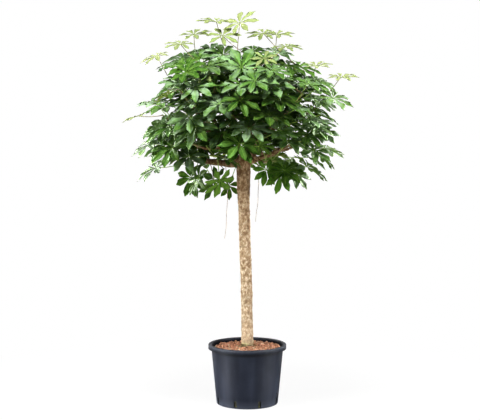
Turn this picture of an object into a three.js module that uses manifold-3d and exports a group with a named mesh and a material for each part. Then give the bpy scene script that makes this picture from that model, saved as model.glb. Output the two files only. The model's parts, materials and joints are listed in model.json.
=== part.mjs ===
// A potted umbrella plant: a tree on one bare trunk, in a plastic nursery pot.
// Millimetres, +Z up. The origin is the middle of the pot's base, and the best side faces -Y.

import Module from 'manifold-3d';
import * as THREE from 'three';
import { mergeVertices } from 'three/addons/utils/BufferGeometryUtils.js';

const wasm = await Module();
wasm.setup();

const UP = new THREE.Vector3(0, 0, 1);

// Pot
const POT_HEIGHT = 230;
const POT_BASE_RADIUS = 118;
const POT_TOP_RADIUS = 138;
const POT_WALL = 2.4;
const POT_FLOOR = 3;
const RIM_RADIUS = 150;
const RIM_HEIGHT = 17;
const RIM_WALL = 2.6;
const BASE_ROUND = 4;
const POT_SIDES = 30;
const SLOT_COUNT = 8;
const SLOT_WIDTH = 12;
const SLOT_LOW = 5;
const SLOT_HIGH = 31;
const AIR_HOLE_RADIUS = 4;
const AIR_HOLE_HEIGHT = 46;
const AIR_HOLE_AZIMUTHS = [-22.5, 157.5];

// Soil and the clay granules that cover it
const GAP = 0.35;
const SOIL_TOP = 194;
const GRANULE_EDGE = 214;
const GRANULE_MOUND = 7;
const GRANULE_SIZE = 3.2;
const GRANULE_RINGS = 6;

// Trunk
const TRUNK_RADIUS = 20.5;
const TRUNK_TOP_RADIUS = 26;
const TRUNK_SIDES = 10;
const TRUNK_FOOT = 100;
const TRUNK_BARE = 232;
const FORK = new THREE.Vector3(-15, 0, 925);
const BARK_BUMP = 1.12;
const BARK_WAVES = [
  { round: 3, climb: 37, share: 1 },
  { round: 2, climb: -21, share: 0.8 },
];
const TRUNK_STEPS = 10;
const CALLUS = [
  { rise: 10, radius: 31 },
  { rise: 34, radius: 18 },
];

// Limbs: azimuth and rise in degrees, then reach and radius at the fork
const LIMBS = [
  { azimuth: 184, rise: 2, reach: 150, radius: 16 },
  { azimuth: 205, rise: 34, reach: 150, radius: 10 },
  { azimuth: 346, rise: 19, reach: 180, radius: 11 },
  { azimuth: 292, rise: 36, reach: 130, radius: 10 },
  { azimuth: 248, rise: 56, reach: 140, radius: 9 },
  { azimuth: 28, rise: 38, reach: 140, radius: 10 },
  { azimuth: 78, rise: 24, reach: 140, radius: 12 },
  { azimuth: 132, rise: 30, reach: 140, radius: 11 },
  { azimuth: 40, rise: 80, reach: 170, radius: 11 },
];
const LIMB_SIDES = 5;
const LIMB_TAPER = 0.62;
const BRANCH_SIDES = 3;
const BRANCH_RADIUS = 6.6;
const TWIG_RADIUS = 5.2;

// Roots that hang in the air: where each leaves the wood, then its foot
const AIR_ROOTS = [
  { from: [-84, -12, 926], to: [-86, -22, 640], radius: 0.9 },
  { from: [38, -22, 946], to: [31, -30, 705], radius: 0.9 },
  { from: [-118, -6, 930], to: [-88, -34, 905], radius: 1.7 },
  { from: [-142, -8, 926], to: [-128, -28, 868], radius: 1.4 },
];

// Crown: leafy stems stand in tiers round its heart
// Each tier: height and spread of the stems' feet, the rise of the way they lean, how many, the azimuth
// of the first, and the leaves on each
const CROWN_CENTRE = new THREE.Vector3(-28, 0, 0);
const TIERS = [
  { height: 945, spread: 112, rise: -22, stems: 5, first: 20, leaves: 3 },
  { height: 985, spread: 195, rise: -6, stems: 7, first: 17, leaves: 4 },
  { height: 1055, spread: 220, rise: 10, stems: 7, first: 40, leaves: 4 },
  { height: 1085, spread: 110, rise: 14, stems: 4, first: 250, leaves: 3 },
  { height: 1125, spread: 215, rise: 24, stems: 7, first: 12, leaves: 5 },
  { height: 1185, spread: 145, rise: 50, stems: 6, first: 50, leaves: 4 },
  { height: 1215, spread: 45, rise: 80, stems: 3, first: 20, leaves: 3 },
];
const STEM_RADIUS = 4.6;
const STEM_TIP_RADIUS = 3.2;
const STEM_SIDES = 5;
const GOLDEN_ANGLE = THREE.MathUtils.degToRad(137.5);
const SHOOT_LENGTH = 34;
const SHOOT_RADIUS = 2.6;
const SHOOT_TIP_RADIUS = 2;
const FIRST_SHOOT = 100;

// Leaves: leaflets cut to the rib of one thin arched blade
const MATURE = { length: 95, width: 0.185, thick: 3, petiole: 1.5, notch: 0.1 };
const YOUNG = { length: 72, width: 0.125, thick: 2.4, petiole: 1.1, notch: 0.1 };
const LOW_PETIOLE = { length: 150, opening: 1.25 };
const HIGH_PETIOLE = { length: 105, opening: 0.55 };
const WIDEST = 0.65;
const LIFT = 0.1;
const FOLD = 0.25;
const DROOP = 0.05;
const ARRIVAL = 0.25;
const FACING = { petiole: 0.2, up: 0.9, outward: 0.2, toFront: 0.28, spread: 0.6 };
const TRIES = 60;
const CLEARANCE = 0.4;

// The mature leaves stay under a roof: its middle, top, the reach of its flat part, its slope from there,
// and how far from the crown's middle a leaf may reach
const ROOF = { x: -60, top: 1418, flat: 50, slope: 0.58, reach: 388 };

// Spaces in front of the fork, the limbs and the trunk that the foliage leaves open
const CLEARINGS = [
  { min: [-40, -400, 0], max: [16, 12, 926] },
  { min: [-150, -400, 908], max: [-55, 0, 940] },
  { min: [40, -400, 948], max: [140, 0, 980] },
  { min: [232, -400, 862], max: [310, 20, 908] },
  { min: [-370, -400, 780], max: [-292, 60, 884] },
  { min: [-430, -400, 1174], max: [-338, 60, 1268] },
  { min: [16, -400, 780], max: [72, 300, 848] },
  { min: [72, -400, 700], max: [400, 400, 822] },
];

// Large leaves of the best side: hub, the way the blade faces, and the way its longest leaflet points
const FRONT_LEAVES = [
  { hub: [-28, -175, 1287], facing: [0.05, -0.72, 0.7], ahead: [0, 0.5, 0.8], length: 110 },
  { hub: [-20, -262, 1225], facing: [0, -0.36, 0.93], ahead: [0.3, -1, 0], length: 104 },
  { hub: [-100, -285, 1152], facing: [-0.2, -0.42, 0.88], ahead: [-1, 0, 0.3], length: 108 },
  { hub: [74, -290, 1112], facing: [0.2, -0.36, 0.9], ahead: [1, -0.4, 0], length: 106 },
  { hub: [6, -300, 1066], facing: [0.05, -0.5, 0.85], ahead: [0.2, -0.5, -1], length: 92 },
  { hub: [-104, -80, 866], facing: [0.3, -0.8, 0.3], ahead: [0.3, -0.4, -1], length: 76 },
  { hub: [-186, -50, 872], facing: [-0.8, -0.5, 0.2], ahead: [0.2, -0.3, -1], length: 80 },
  { hub: [128, -186, 892], facing: [0.3, -0.9, 0.1], ahead: [-0.2, -0.2, -1], length: 70 },
  { hub: [208, -40, 914], facing: [0.75, -0.15, 0.6], ahead: [1, -0.2, 0.2], length: 74 },
  { hub: [-132, 60, 862], facing: [-0.2, -0.5, 0.8], ahead: [-0.6, 0.3, -0.6], length: 84 },
  { hub: [-214, 40, 868], facing: [-0.4, -0.8, 0], ahead: [-0.8, 0, -0.6], length: 74 },
  { hub: [74, 60, 890], facing: [0.2, -0.4, 0.8], ahead: [0.6, 0.3, -0.6], length: 74 },
  { hub: [-72, 60, 838], facing: [0.6, -0.6, 0.4], ahead: [0.2, -0.3, -1], length: 56 },
  { hub: [-232, -16, 1320], facing: [-0.2, -0.35, 0.9], ahead: [-1, -0.2, 0], length: 100 },
  { hub: [-306, 20, 1278], facing: [-0.3, -0.2, 0.95], ahead: [-1, 0.2, 0], length: 92 },
  { hub: [-156, 30, 1350], facing: [-0.1, -0.35, 0.93], ahead: [-0.6, 0.6, 0], length: 84 },
  { hub: [180, 20, 1300], facing: [0.25, -0.3, 0.9], ahead: [1, 0, 0], length: 96 },
  { hub: [276, 20, 1236], facing: [0.3, -0.35, 0.9], ahead: [1, -0.1, -0.1], length: 88 },
  { hub: [312, -50, 1182], facing: [0.3, -0.4, 0.85], ahead: [1, -0.2, -0.1], length: 88 },
  { hub: [-372, 0, 1000], facing: [-0.5, -0.3, 0.8], ahead: [-1, 0, -0.5], length: 84 },
  { hub: [-350, -10, 910], facing: [-0.55, -0.25, 0.8], ahead: [-1, 0, -0.7], length: 90 },
  { hub: [112, -10, 1334], facing: [0.1, -0.35, 0.9], ahead: [1, -0.3, 0], length: 82 },
  { hub: [-330, -30, 1066], facing: [-0.4, -0.4, 0.8], ahead: [-1, -0.1, -0.3], length: 84 },
  { hub: [-345, 20, 1150], facing: [-0.1, -0.15, 1], ahead: [-1, 0, 0], length: 84 },
  { hub: [296, -20, 984], facing: [0.3, -0.2, 0.9], ahead: [1, 0, -0.4], length: 84 },
  { hub: [64, -184, 914], facing: [0.2, -0.9, 0.2], ahead: [0.2, -0.2, -1], length: 60 },
  { hub: [22, 40, 1354], facing: [0.05, -0.35, 0.93], ahead: [0.5, 0.8, 0], length: 70 },
];

// Young shoots: the hub of each leaf, grouped by shoot
const YOUNG_SHOOTS = [
  [{ hub: [-30, -20, 1455], facing: [-0.35, -0.55, 0.75], ahead: [0.7, 0.2, 0.8], length: 84 }],
  [{ hub: [-117, 10, 1461], facing: [0.05, -0.2, 1], ahead: [-1, -0.2, 0.1], length: 84 }],
  [{ hub: [-91, -60, 1406], facing: [0, -0.6, 0.8], ahead: [0.4, 0.5, 0.7], length: 76 }],
  [{ hub: [-203, 20, 1414], facing: [-0.1, -0.35, 1], ahead: [1, 0.3, 0.4], length: 78 }],
  [{ hub: [-252, -30, 1376], facing: [0, -0.35, 1], ahead: [-1, 0.4, 0.1] }],
  [{ hub: [-342, 0, 1334], facing: [-0.3, -0.3, 1], ahead: [-1, 0, -0.4] }],
  [{ hub: [61, 10, 1418], facing: [0, -0.4, 1], ahead: [-1, 0.3, 0.3], length: 78 }],
  [{ hub: [112, 40, 1414], ahead: [1, 0.3, 0.1], length: 78 }],
  [{ hub: [142, -60, 1366], ahead: [1, -0.4, 0] }],
  [{ hub: [262, 30, 1296], ahead: [1, 0.2, -0.1] }],
  [{ hub: [352, -20, 1252], ahead: [1, -0.2, 0.2] }],
  [{ hub: [-412, -10, 1106], ahead: [-1, -0.2, -0.3] }],
  [{ hub: [61, -150, 1319], facing: [0.1, -0.7, 0.7], ahead: [0.2, -0.6, -0.6], length: 60 }],
  [{ hub: [-148, -220, 1256], facing: [-0.2, -0.5, 0.8], ahead: [-0.6, -1, 0], length: 54 }],
  [{ hub: [-298, -150, 1188], facing: [-0.3, -0.2, 0.9], ahead: [-1, -0.2, 0], length: 58 }],
  [{ hub: [10, 270, 1300], ahead: [0, 1, 0.1] }],
];

// Joined pieces lose edges shorter than these
const WOOD_SLIVER = 0.3;
const LEAF_SLIVER = 0.12;

const FINISHES = {
  plastic: new THREE.MeshStandardMaterial({ color: 0x2f3542, roughness: 0.55, metalness: 0 }),
  soil: new THREE.MeshStandardMaterial({ color: 0x3a2a1e, roughness: 0.95, metalness: 0 }),
  clay: new THREE.MeshStandardMaterial({ color: 0xc27a5a, roughness: 0.9, metalness: 0 }),
  bark: new THREE.MeshStandardMaterial({ color: 0xc4a27c, roughness: 0.85, metalness: 0 }),
  leaf: new THREE.MeshStandardMaterial({ color: 0x2f6428, roughness: 0.4, metalness: 0 }),
  youngLeaf: new THREE.MeshStandardMaterial({ color: 0xa9c145, roughness: 0.45, metalness: 0 }),
};

// A steady number from 0 to 1 for three whole numbers
function chance(a, b, c = 0) {
  const wave = Math.sin(a * 12.9898 + b * 78.233 + c * 37.719) * 43758.5453;
  return wave - Math.floor(wave);
}

function polar(azimuth, rise) {
  const turn = THREE.MathUtils.degToRad(azimuth);
  const lift = THREE.MathUtils.degToRad(rise);
  return new THREE.Vector3(
    Math.cos(lift) * Math.cos(turn),
    Math.cos(lift) * Math.sin(turn),
    Math.sin(lift),
  );
}

function along(from, direction, distance) {
  return from.clone().addScaledVector(direction, distance);
}

// The part of a vector that lies across a direction, made one long
function across(vector, direction) {
  const flat = along(vector, direction, -vector.dot(direction));
  if (flat.length() < 1e-3) flat.set(1, 0, 0).addScaledVector(direction, -direction.x);
  return flat.normalize();
}

function solidFrom(positions, triangles) {
  return new wasm.Manifold(
    new wasm.Mesh({
      numProp: 3,
      vertProperties: new Float32Array(positions),
      triVerts: new Uint32Array(triangles),
    }),
  );
}

function solidOf(geometry) {
  const bare = new THREE.BufferGeometry();
  bare.setAttribute('position', geometry.getAttribute('position'));
  bare.setIndex(geometry.getIndex());
  const merged = mergeVertices(bare, 1e-3);
  return solidFrom(merged.getAttribute('position').array, merged.getIndex().array);
}

function meshOf(name, solid, finish) {
  const { vertProperties, triVerts } = solid.getMesh();
  const geometry = new THREE.BufferGeometry();
  geometry.setAttribute('position', new THREE.BufferAttribute(vertProperties, 3));
  geometry.setIndex(new THREE.BufferAttribute(triVerts, 1));
  geometry.computeVertexNormals();
  const mesh = new THREE.Mesh(geometry, finish);
  mesh.name = name;
  return mesh;
}

// One body of several, without the slivers that a join leaves
function joined(solids, sliver) {
  const whole = solids.reduce((sum, next) => sum.add(next));
  return whole.simplify(sliver);
}

// Adds a ring of points and returns the number of its first one
function addRing(positions, { at, u, v, radii }) {
  const first = positions.length / 3;
  radii.forEach((radius, side) => {
    const turn = (side / radii.length) * Math.PI * 2;
    const point = along(along(at, u, radius * Math.cos(turn)), v, radius * Math.sin(turn));
    positions.push(point.x, point.y, point.z);
  });
  return first;
}

function addWall(triangles, low, high, sides) {
  for (let side = 0; side < sides; side += 1) {
    const next = (side + 1) % sides;
    triangles.push(low + side, low + next, high + next);
    triangles.push(low + side, high + next, high + side);
  }
}

function addCap(triangles, ring, sides, facesBack) {
  for (let side = 1; side < sides - 1; side += 1) {
    if (facesBack) triangles.push(ring, ring + side + 1, ring + side);
    else triangles.push(ring, ring + side, ring + side + 1);
  }
}

// A closed tube through stations of { at, heading, radii }
function tube(stations) {
  const positions = [];
  const triangles = [];
  const sides = stations[0].radii.length;
  let u = across(new THREE.Vector3(1, 0.01, 0.02), stations[0].heading);
  const rings = stations.map(({ at, heading, radii }) => {
    u = across(u, heading);
    const v = heading.clone().cross(u);
    return addRing(positions, { at, u, v, radii });
  });
  addCap(triangles, rings[0], sides, true);
  for (let ring = 1; ring < rings.length; ring += 1) {
    addWall(triangles, rings[ring - 1], rings[ring], sides);
  }
  addCap(triangles, rings[rings.length - 1], sides, false);
  return solidFrom(positions, triangles);
}

// A tube along a curve, from one radius to another
function taper(curve, steps, sides, fromRadius, toRadius) {
  const stations = [];
  for (let step = 0; step <= steps; step += 1) {
    const share = step / steps;
    const radius = THREE.MathUtils.lerp(fromRadius, toRadius, share);
    stations.push({
      at: curve.getPoint(share),
      heading: curve.getTangent(share),
      radii: Array(sides).fill(radius),
    });
  }
  return tube(stations);
}

function potOuterRadius(height) {
  const share = height / (POT_HEIGHT - RIM_HEIGHT);
  return THREE.MathUtils.lerp(POT_BASE_RADIUS, POT_TOP_RADIUS, share);
}

function potInnerRadius(height) {
  return potOuterRadius(height) - POT_WALL;
}

// A slot or hole through the pot's wall, made along Y and turned to its place
function wallCut(shape, azimuth) {
  const depth = 30;
  const geometry = new THREE.ExtrudeGeometry(shape, { depth, bevelEnabled: false, curveSegments: 3 });
  geometry.rotateX(Math.PI / 2);
  geometry.translate(0, -(POT_BASE_RADIUS - depth / 2 - 4), 0);
  geometry.rotateZ(THREE.MathUtils.degToRad(azimuth + 90));
  return solidOf(geometry);
}

function slotShape() {
  const half = SLOT_WIDTH / 2;
  const shape = new THREE.Shape();
  shape.moveTo(-half, SLOT_LOW);
  shape.lineTo(half, SLOT_LOW);
  shape.lineTo(half, SLOT_HIGH - half);
  shape.absarc(0, SLOT_HIGH - half, half, 0, Math.PI, false);
  shape.closePath();
  return shape;
}

function airHoleShape() {
  const shape = new THREE.Shape();
  shape.absarc(0, AIR_HOLE_HEIGHT, AIR_HOLE_RADIUS, 0, Math.PI * 2, false);
  return shape;
}

function buildPot() {
  const rimFoot = POT_HEIGHT - RIM_HEIGHT;
  const rimInner = potInnerRadius(POT_HEIGHT);
  const profile = [
    [0, 0],
    [POT_BASE_RADIUS - BASE_ROUND, 0],
    [POT_BASE_RADIUS - 1, BASE_ROUND * 0.4],
    [potOuterRadius(BASE_ROUND), BASE_ROUND],
    [POT_TOP_RADIUS, rimFoot],
    [potOuterRadius(POT_HEIGHT - RIM_WALL), POT_HEIGHT - RIM_WALL - 1],
    [RIM_RADIUS - RIM_WALL, POT_HEIGHT - RIM_WALL - 1],
    [RIM_RADIUS - RIM_WALL, rimFoot],
    [RIM_RADIUS, rimFoot],
    [RIM_RADIUS, POT_HEIGHT - 3],
    [RIM_RADIUS - 3, POT_HEIGHT],
    [rimInner + 2, POT_HEIGHT],
    [rimInner, POT_HEIGHT - 2],
    [potInnerRadius(POT_FLOOR), POT_FLOOR],
    [0, POT_FLOOR],
  ].map(([radius, height]) => new THREE.Vector2(radius, height));
  let pot = solidOf(new THREE.LatheGeometry(profile, POT_SIDES).rotateX(Math.PI / 2));
  const spacing = 360 / SLOT_COUNT;
  for (let slot = 0; slot < SLOT_COUNT; slot += 1) {
    pot = pot.subtract(wallCut(slotShape(), (slot + 0.5) * spacing));
  }
  AIR_HOLE_AZIMUTHS.forEach((azimuth) => {
    pot = pot.subtract(wallCut(airHoleShape(), azimuth));
  });
  return pot;
}

// Soil with a plain hole that the trunk's foot stands in
function buildSoil() {
  const hole = TRUNK_RADIUS + GAP;
  const profile = [
    [0, POT_FLOOR + GAP],
    [potInnerRadius(POT_FLOOR) - 2 * GAP, POT_FLOOR + GAP],
    [potInnerRadius(SOIL_TOP) - 2 * GAP, SOIL_TOP],
    [hole, SOIL_TOP],
    [hole, TRUNK_FOOT - GAP],
    [0, TRUNK_FOOT - GAP],
  ].map(([radius, height]) => new THREE.Vector2(radius, height));
  return solidOf(new THREE.LatheGeometry(profile, POT_SIDES).rotateX(Math.PI / 2));
}

// A layer of granules: a polar net whose points rise and fall by turns, as round grains do
function buildGranules() {
  const bottom = SOIL_TOP + GAP;
  const hole = TRUNK_RADIUS + GAP;
  const rim = potInnerRadius(bottom) - 2 * GAP;
  const positions = [];
  const triangles = [];
  const rings = [];
  const lathe = { u: new THREE.Vector3(0, 1, 0), v: new THREE.Vector3(-1, 0, 0) };
  const addLevel = (radius, heightAt) => {
    const radii = Array(POT_SIDES).fill(radius);
    const first = addRing(positions, { ...lathe, at: new THREE.Vector3(), radii });
    for (let side = 0; side < POT_SIDES; side += 1) {
      positions[(first + side) * 3 + 2] = heightAt(side);
    }
    rings.push(first);
  };
  addLevel(hole, () => bottom);
  addLevel(rim, () => bottom);
  for (let ring = GRANULE_RINGS; ring >= 0; ring -= 1) {
    const share = ring / GRANULE_RINGS;
    const inner = ring === 0 || ring === GRANULE_RINGS;
    addLevel(THREE.MathUtils.lerp(hole, rim, share), (side) => {
      const mound = GRANULE_EDGE + GRANULE_MOUND * (1 - share * share);
      const grain = (side + ring) % 2 === 0 ? 1 : -1;
      const uneven = chance(side, ring, 3) - 0.5;
      return mound + (inner ? 0 : GRANULE_SIZE * (grain + uneven));
    });
  }
  rings.forEach((ring, order) => {
    addWall(triangles, ring, rings[(order + 1) % rings.length], POT_SIDES);
  });
  return solidFrom(positions, triangles);
}

// The trunk leans a little as it rises, and its bark swells and sinks by a few slow waves
function trunkAt(height) {
  const share = THREE.MathUtils.smoothstep(height, TRUNK_BARE, FORK.z);
  return new THREE.Vector3(FORK.x * share, FORK.y * share, height);
}

function barkRadius(height, turn) {
  const share = THREE.MathUtils.smoothstep(height, FORK.z - 190, FORK.z);
  const plain = THREE.MathUtils.lerp(TRUNK_RADIUS, TRUNK_TOP_RADIUS, share);
  if (height < TRUNK_BARE) return plain;
  const wave = ({ round, climb, share: part }) => part * Math.sin(round * turn + height / climb);
  return plain + BARK_BUMP * BARK_WAVES.map(wave).reduce((sum, next) => sum + next);
}

function buildStem() {
  const heights = [TRUNK_FOOT, TRUNK_BARE - 14];
  for (let step = 0; step <= TRUNK_STEPS; step += 1) {
    heights.push(THREE.MathUtils.lerp(TRUNK_BARE, FORK.z - 8, step / TRUNK_STEPS));
  }
  const stations = heights.map((height) => {
    const radii = Array.from({ length: TRUNK_SIDES }, (_, side) =>
      barkRadius(height, (side / TRUNK_SIDES) * Math.PI * 2),
    );
    return { at: trunkAt(height), heading: UP, radii };
  });
  CALLUS.forEach(({ rise, radius }) => {
    const radii = Array(TRUNK_SIDES).fill(radius);
    stations.push({ at: trunkAt(FORK.z + rise), heading: UP, radii });
  });
  return tube(stations);
}

// Leafy stems: where each grows, which way, and how long it is
function planStems() {
  const stems = [];
  TIERS.forEach(({ height, spread, rise, stems: count, first, leaves }) => {
    for (let order = 0; order < count; order += 1) {
      const number = stems.length + 1;
      const azimuth = first + (order * 360) / count + 16 * (chance(number, 1) - 0.5);
      const outward = polar(azimuth, rise + 8 * (chance(number, 2) - 0.5));
      const reach = spread * (0.8 + 0.36 * chance(number, 3));
      const foot = along(CROWN_CENTRE, polar(azimuth, 0), reach);
      foot.z = height + 24 * (chance(number, 6) - 0.5);
      const heading = along(outward, UP, 0.45).normalize();
      const length = 66 + 22 * chance(number, 4);
      stems.push({ number, foot, outward, heading, length, leaves });
    }
  });
  return stems;
}

function limbPath({ azimuth, rise, reach }) {
  const direction = polar(azimuth, rise);
  const start = along(FORK, direction, 6);
  const middle = along(along(FORK, direction, reach * 0.55), UP, -4);
  const end = along(along(FORK, direction, reach), UP, 6);
  return new THREE.QuadraticBezierCurve3(start, middle, end);
}

// A stem grows from the limb whose direction is nearest its own
function nearestLimb(stem) {
  const toStem = stem.foot.clone().sub(FORK).normalize();
  const score = (limb) => polar(limb.azimuth, limb.rise).dot(toStem);
  return LIMBS.reduce((best, limb) => (score(limb) > score(best) ? limb : best));
}

// Branches leave their limb one after another, from its middle to its end
function planBranches(stems) {
  return LIMBS.flatMap((limb) => {
    const carried = stems.filter((stem) => nearestLimb(stem) === limb);
    carried.sort((a, b) => a.foot.distanceTo(FORK) - b.foot.distanceTo(FORK));
    const path = limbPath(limb);
    return carried.map((stem, order) => {
      const share = THREE.MathUtils.lerp(0.5, 0.96, (order + 1) / carried.length);
      const start = path.getPoint(share);
      const bend = start.distanceTo(stem.foot) * 0.35;
      return new THREE.QuadraticBezierCurve3(start, along(stem.foot, stem.heading, -bend), stem.foot);
    });
  });
}

function airRoot({ from, to, radius }) {
  const start = new THREE.Vector3(...from);
  const end = new THREE.Vector3(...to);
  const sway = start.distanceTo(end) * 0.06;
  const middle = start.clone().lerp(end, 0.4).add(new THREE.Vector3(sway, -sway, 0));
  return taper(new THREE.QuadraticBezierCurve3(start, middle, end), 4, 3, radius, radius * 0.7);
}

function buildTrunk(stems) {
  const limbOf = (limb) => taper(limbPath(limb), 3, LIMB_SIDES, limb.radius, limb.radius * LIMB_TAPER);
  const branchOf = (path) => taper(path, 2, BRANCH_SIDES, BRANCH_RADIUS, TWIG_RADIUS);
  const wood = [...LIMBS.map(limbOf), ...planBranches(stems).map(branchOf), ...AIR_ROOTS.map(airRoot)];
  return joined([buildStem(), ...wood], WOOD_SLIVER);
}

function stemSolid({ foot, heading, length }) {
  const curve = new THREE.LineCurve3(along(foot, heading, GAP), along(foot, heading, length));
  return taper(curve, 1, STEM_SIDES, STEM_RADIUS, STEM_TIP_RADIUS);
}

// A leaf of a spiral round its stem: later tries turn it, shorten it and tilt it
function spiralLeaf(stem, order, attempt) {
  const share = order / (stem.leaves - 1);
  const key = stem.number * 10 + order;
  const draw = (which) => chance(key, which, attempt) - 0.5;
  const root = along(stem.foot, stem.heading, stem.length * (0.3 + 0.6 * share));
  const turn = order * GOLDEN_ANGLE + chance(stem.number, 5) * Math.PI * 2 + attempt * 0.7 * draw(1);
  const opening = THREE.MathUtils.lerp(LOW_PETIOLE.opening, HIGH_PETIOLE.opening, share) + 0.4 * draw(2);
  const u = across(stem.outward, stem.heading);
  const v = stem.heading.clone().cross(u);
  const side = u.multiplyScalar(Math.cos(turn)).addScaledVector(v, Math.sin(turn));
  const petiole = stem.heading.clone().multiplyScalar(Math.cos(opening));
  petiole.addScaledVector(side, Math.sin(opening)).addScaledVector(stem.outward, 0.4).normalize();
  const span = THREE.MathUtils.lerp(LOW_PETIOLE.length, HIGH_PETIOLE.length, share);
  const reach = span * (1 + 0.3 * draw(3)) * (1 - (0.6 * attempt) / TRIES);
  const hub = along(along(root, petiole, reach), UP, 0.08 * reach);
  const level = new THREE.Vector3(stem.outward.x, stem.outward.y, 0);
  const facing = petiole.clone().multiplyScalar(FACING.petiole).addScaledVector(UP, FACING.up);
  facing.addScaledVector(level, FACING.outward).add(new THREE.Vector3(0, -FACING.toFront, 0));
  facing.add(new THREE.Vector3(draw(4), draw(5), 0).multiplyScalar(FACING.spread));
  const length = MATURE.length * (1 + 0.3 * draw(6));
  return { kind: MATURE, key, root, hub, facing, ahead: petiole, length, roofed: true };
}

// A leaf whose hub is given: later tries move the hub a little
function placedLeaf(kind, key, stem, { hub, facing, ahead, length }, attempt) {
  const draw = (which) => chance(key, which, attempt) - 0.5;
  const share = kind === YOUNG ? 0.86 : 0.2 + 0.7 * chance(key, 7, attempt);
  const root = along(stem.foot, stem.heading, stem.length * share);
  const shift = new THREE.Vector3(draw(1), draw(2), draw(3)).multiplyScalar(attempt * 3);
  const at = new THREE.Vector3(...hub).add(shift);
  return {
    kind,
    key,
    root,
    hub: at,
    facing: new THREE.Vector3(...facing),
    ahead: new THREE.Vector3(...ahead),
    length,
  };
}

// The blade's own axes, its leaflets' angles and lengths, and how it arches and folds
// The blade turns until its petiole reaches it from below
function bladeOf({ kind, key, root, hub, facing, ahead, length }) {
  const arrival = hub.clone().sub(root).normalize();
  const normal = facing.clone().normalize();
  normal.addScaledVector(arrival, Math.max(0, ARRIVAL - normal.dot(arrival))).normalize();
  const first = across(ahead, normal);
  const second = normal.clone().cross(first);
  const count = kind === YOUNG ? 6 : 6 + Math.round(chance(key, 11));
  const droop = DROOP + 0.18 * chance(key, 12);
  const sag = normal.clone().multiplyScalar(-1).addScaledVector(UP, -0.7).normalize();
  const leaflets = Array.from({ length: count }, (_, order) => {
    const place = order - (count - 1) / 2;
    const angle = (place * Math.PI * 2 * 0.95) / count + 0.16 * (chance(key, 20 + order) - 0.5);
    const shorter = 1 - 0.3 * Math.abs(place / (count / 2)) ** 1.5;
    return { angle, reach: length * shorter * (0.94 + 0.12 * chance(key, 40 + order)) };
  });
  return { kind, hub, normal, first, second, sag, droop, leaflets };
}

// A point of a leaflet: share of the way to its tip, and -1 to 1 across at its widest
function leafletPoint(blade, { angle, reach }, share, side) {
  const { kind, hub, normal, first, second, sag, droop } = blade;
  const ray = first.clone().multiplyScalar(Math.cos(angle)).addScaledVector(second, Math.sin(angle));
  const crosswise = normal.clone().cross(ray);
  const half = kind.width * reach * side;
  const rib = ray.addScaledVector(normal, LIFT).addScaledVector(sag, droop);
  return along(hub, rib, share * reach)
    .addScaledVector(crosswise, half)
    .addScaledVector(normal, FOLD * Math.abs(half));
}

function notchPoint(blade, order) {
  const { leaflets, hub, first, second, kind } = blade;
  const here = leaflets[order];
  const next = leaflets[(order + 1) % leaflets.length];
  const wrap = order + 1 === leaflets.length ? Math.PI * 2 : 0;
  const angle = (here.angle + next.angle + wrap) / 2;
  const reach = (kind.notch * (here.reach + next.reach)) / 2;
  return along(along(hub, first, reach * Math.cos(angle)), second, reach * Math.sin(angle));
}

// A leaf as one closed body: both faces share the sharp outline and are split alike,
// and a three-sided petiole runs from the blade's underside to its root in the stem
function leafSolid(leaf) {
  const blade = bladeOf(leaf);
  const { hub, normal, first, second, leaflets, kind } = blade;
  const count = leaflets.length;
  const positions = [];
  const triangles = [];
  const addPoint = (point) => positions.push(point.x, point.y, point.z) / 3 - 1;
  const centre = addPoint(hub);
  const notches = leaflets.map((_, order) => addPoint(notchPoint(blade, order)));
  const loop = [];
  leaflets.forEach((leaflet, order) => {
    const nextAngle = order + 1 < count ? leaflets[order + 1].angle : leaflets[0].angle + Math.PI * 2;
    loop.push({ point: addPoint(leafletPoint(blade, leaflet, WIDEST, -1)), angle: leaflet.angle - 0.2 });
    loop.push({ point: addPoint(leafletPoint(blade, leaflet, 1, 0)), angle: leaflet.angle });
    loop.push({ point: addPoint(leafletPoint(blade, leaflet, WIDEST, 1)), angle: leaflet.angle + 0.2 });
    loop.push({ point: notches[order], angle: (leaflet.angle + nextAngle) / 2 });
  });
  const sides = 3;
  const neck = { at: along(hub, normal, -kind.thick), u: first, v: second };
  const neckRing = addRing(positions, { ...neck, radii: Array(sides).fill(kind.petiole) });
  const nearest = (angle) => ((Math.round((angle * sides) / (Math.PI * 2)) % sides) + sides) % sides;
  loop.forEach(({ point, angle }, order) => {
    const next = loop[(order + 1) % loop.length];
    triangles.push(centre, point, next.point);
    const here = neckRing + nearest(angle);
    const there = neckRing + nearest(next.angle);
    triangles.push(here, next.point, point);
    if (here !== there) triangles.push(here, there, next.point);
  });
  const heading = neck.at.clone().sub(leaf.root).normalize();
  const u = across(first, heading);
  const v = heading.clone().cross(u);
  const rootRing = addRing(positions, { at: leaf.root, u, v, radii: Array(sides).fill(kind.petiole) });
  addWall(triangles, rootRing, neckRing, sides);
  addCap(triangles, rootRing, sides, true);
  return solidFrom(positions, triangles);
}

function boxOf(solid) {
  const { min, max } = solid.boundingBox();
  return new THREE.Box3(new THREE.Vector3(...min), new THREE.Vector3(...max));
}

// Every solid placed so far, so that no leaf crosses another stem, leaf or limb
const placed = [];

function place(solid, owner) {
  placed.push({ solid, owner, box: boxOf(solid).expandByScalar(CLEARANCE) });
}

const zones = CLEARINGS.map(
  ({ min, max }) => new THREE.Box3(new THREE.Vector3(...min), new THREE.Vector3(...max)),
);

function isUnderRoof(point) {
  if (Math.hypot(point.x - CROWN_CENTRE.x, point.y) > ROOF.reach) return false;
  const outward = Math.hypot(point.x - ROOF.x, point.y);
  return point.z < ROOF.top - ROOF.slope * Math.max(0, outward - ROOF.flat);
}

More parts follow.
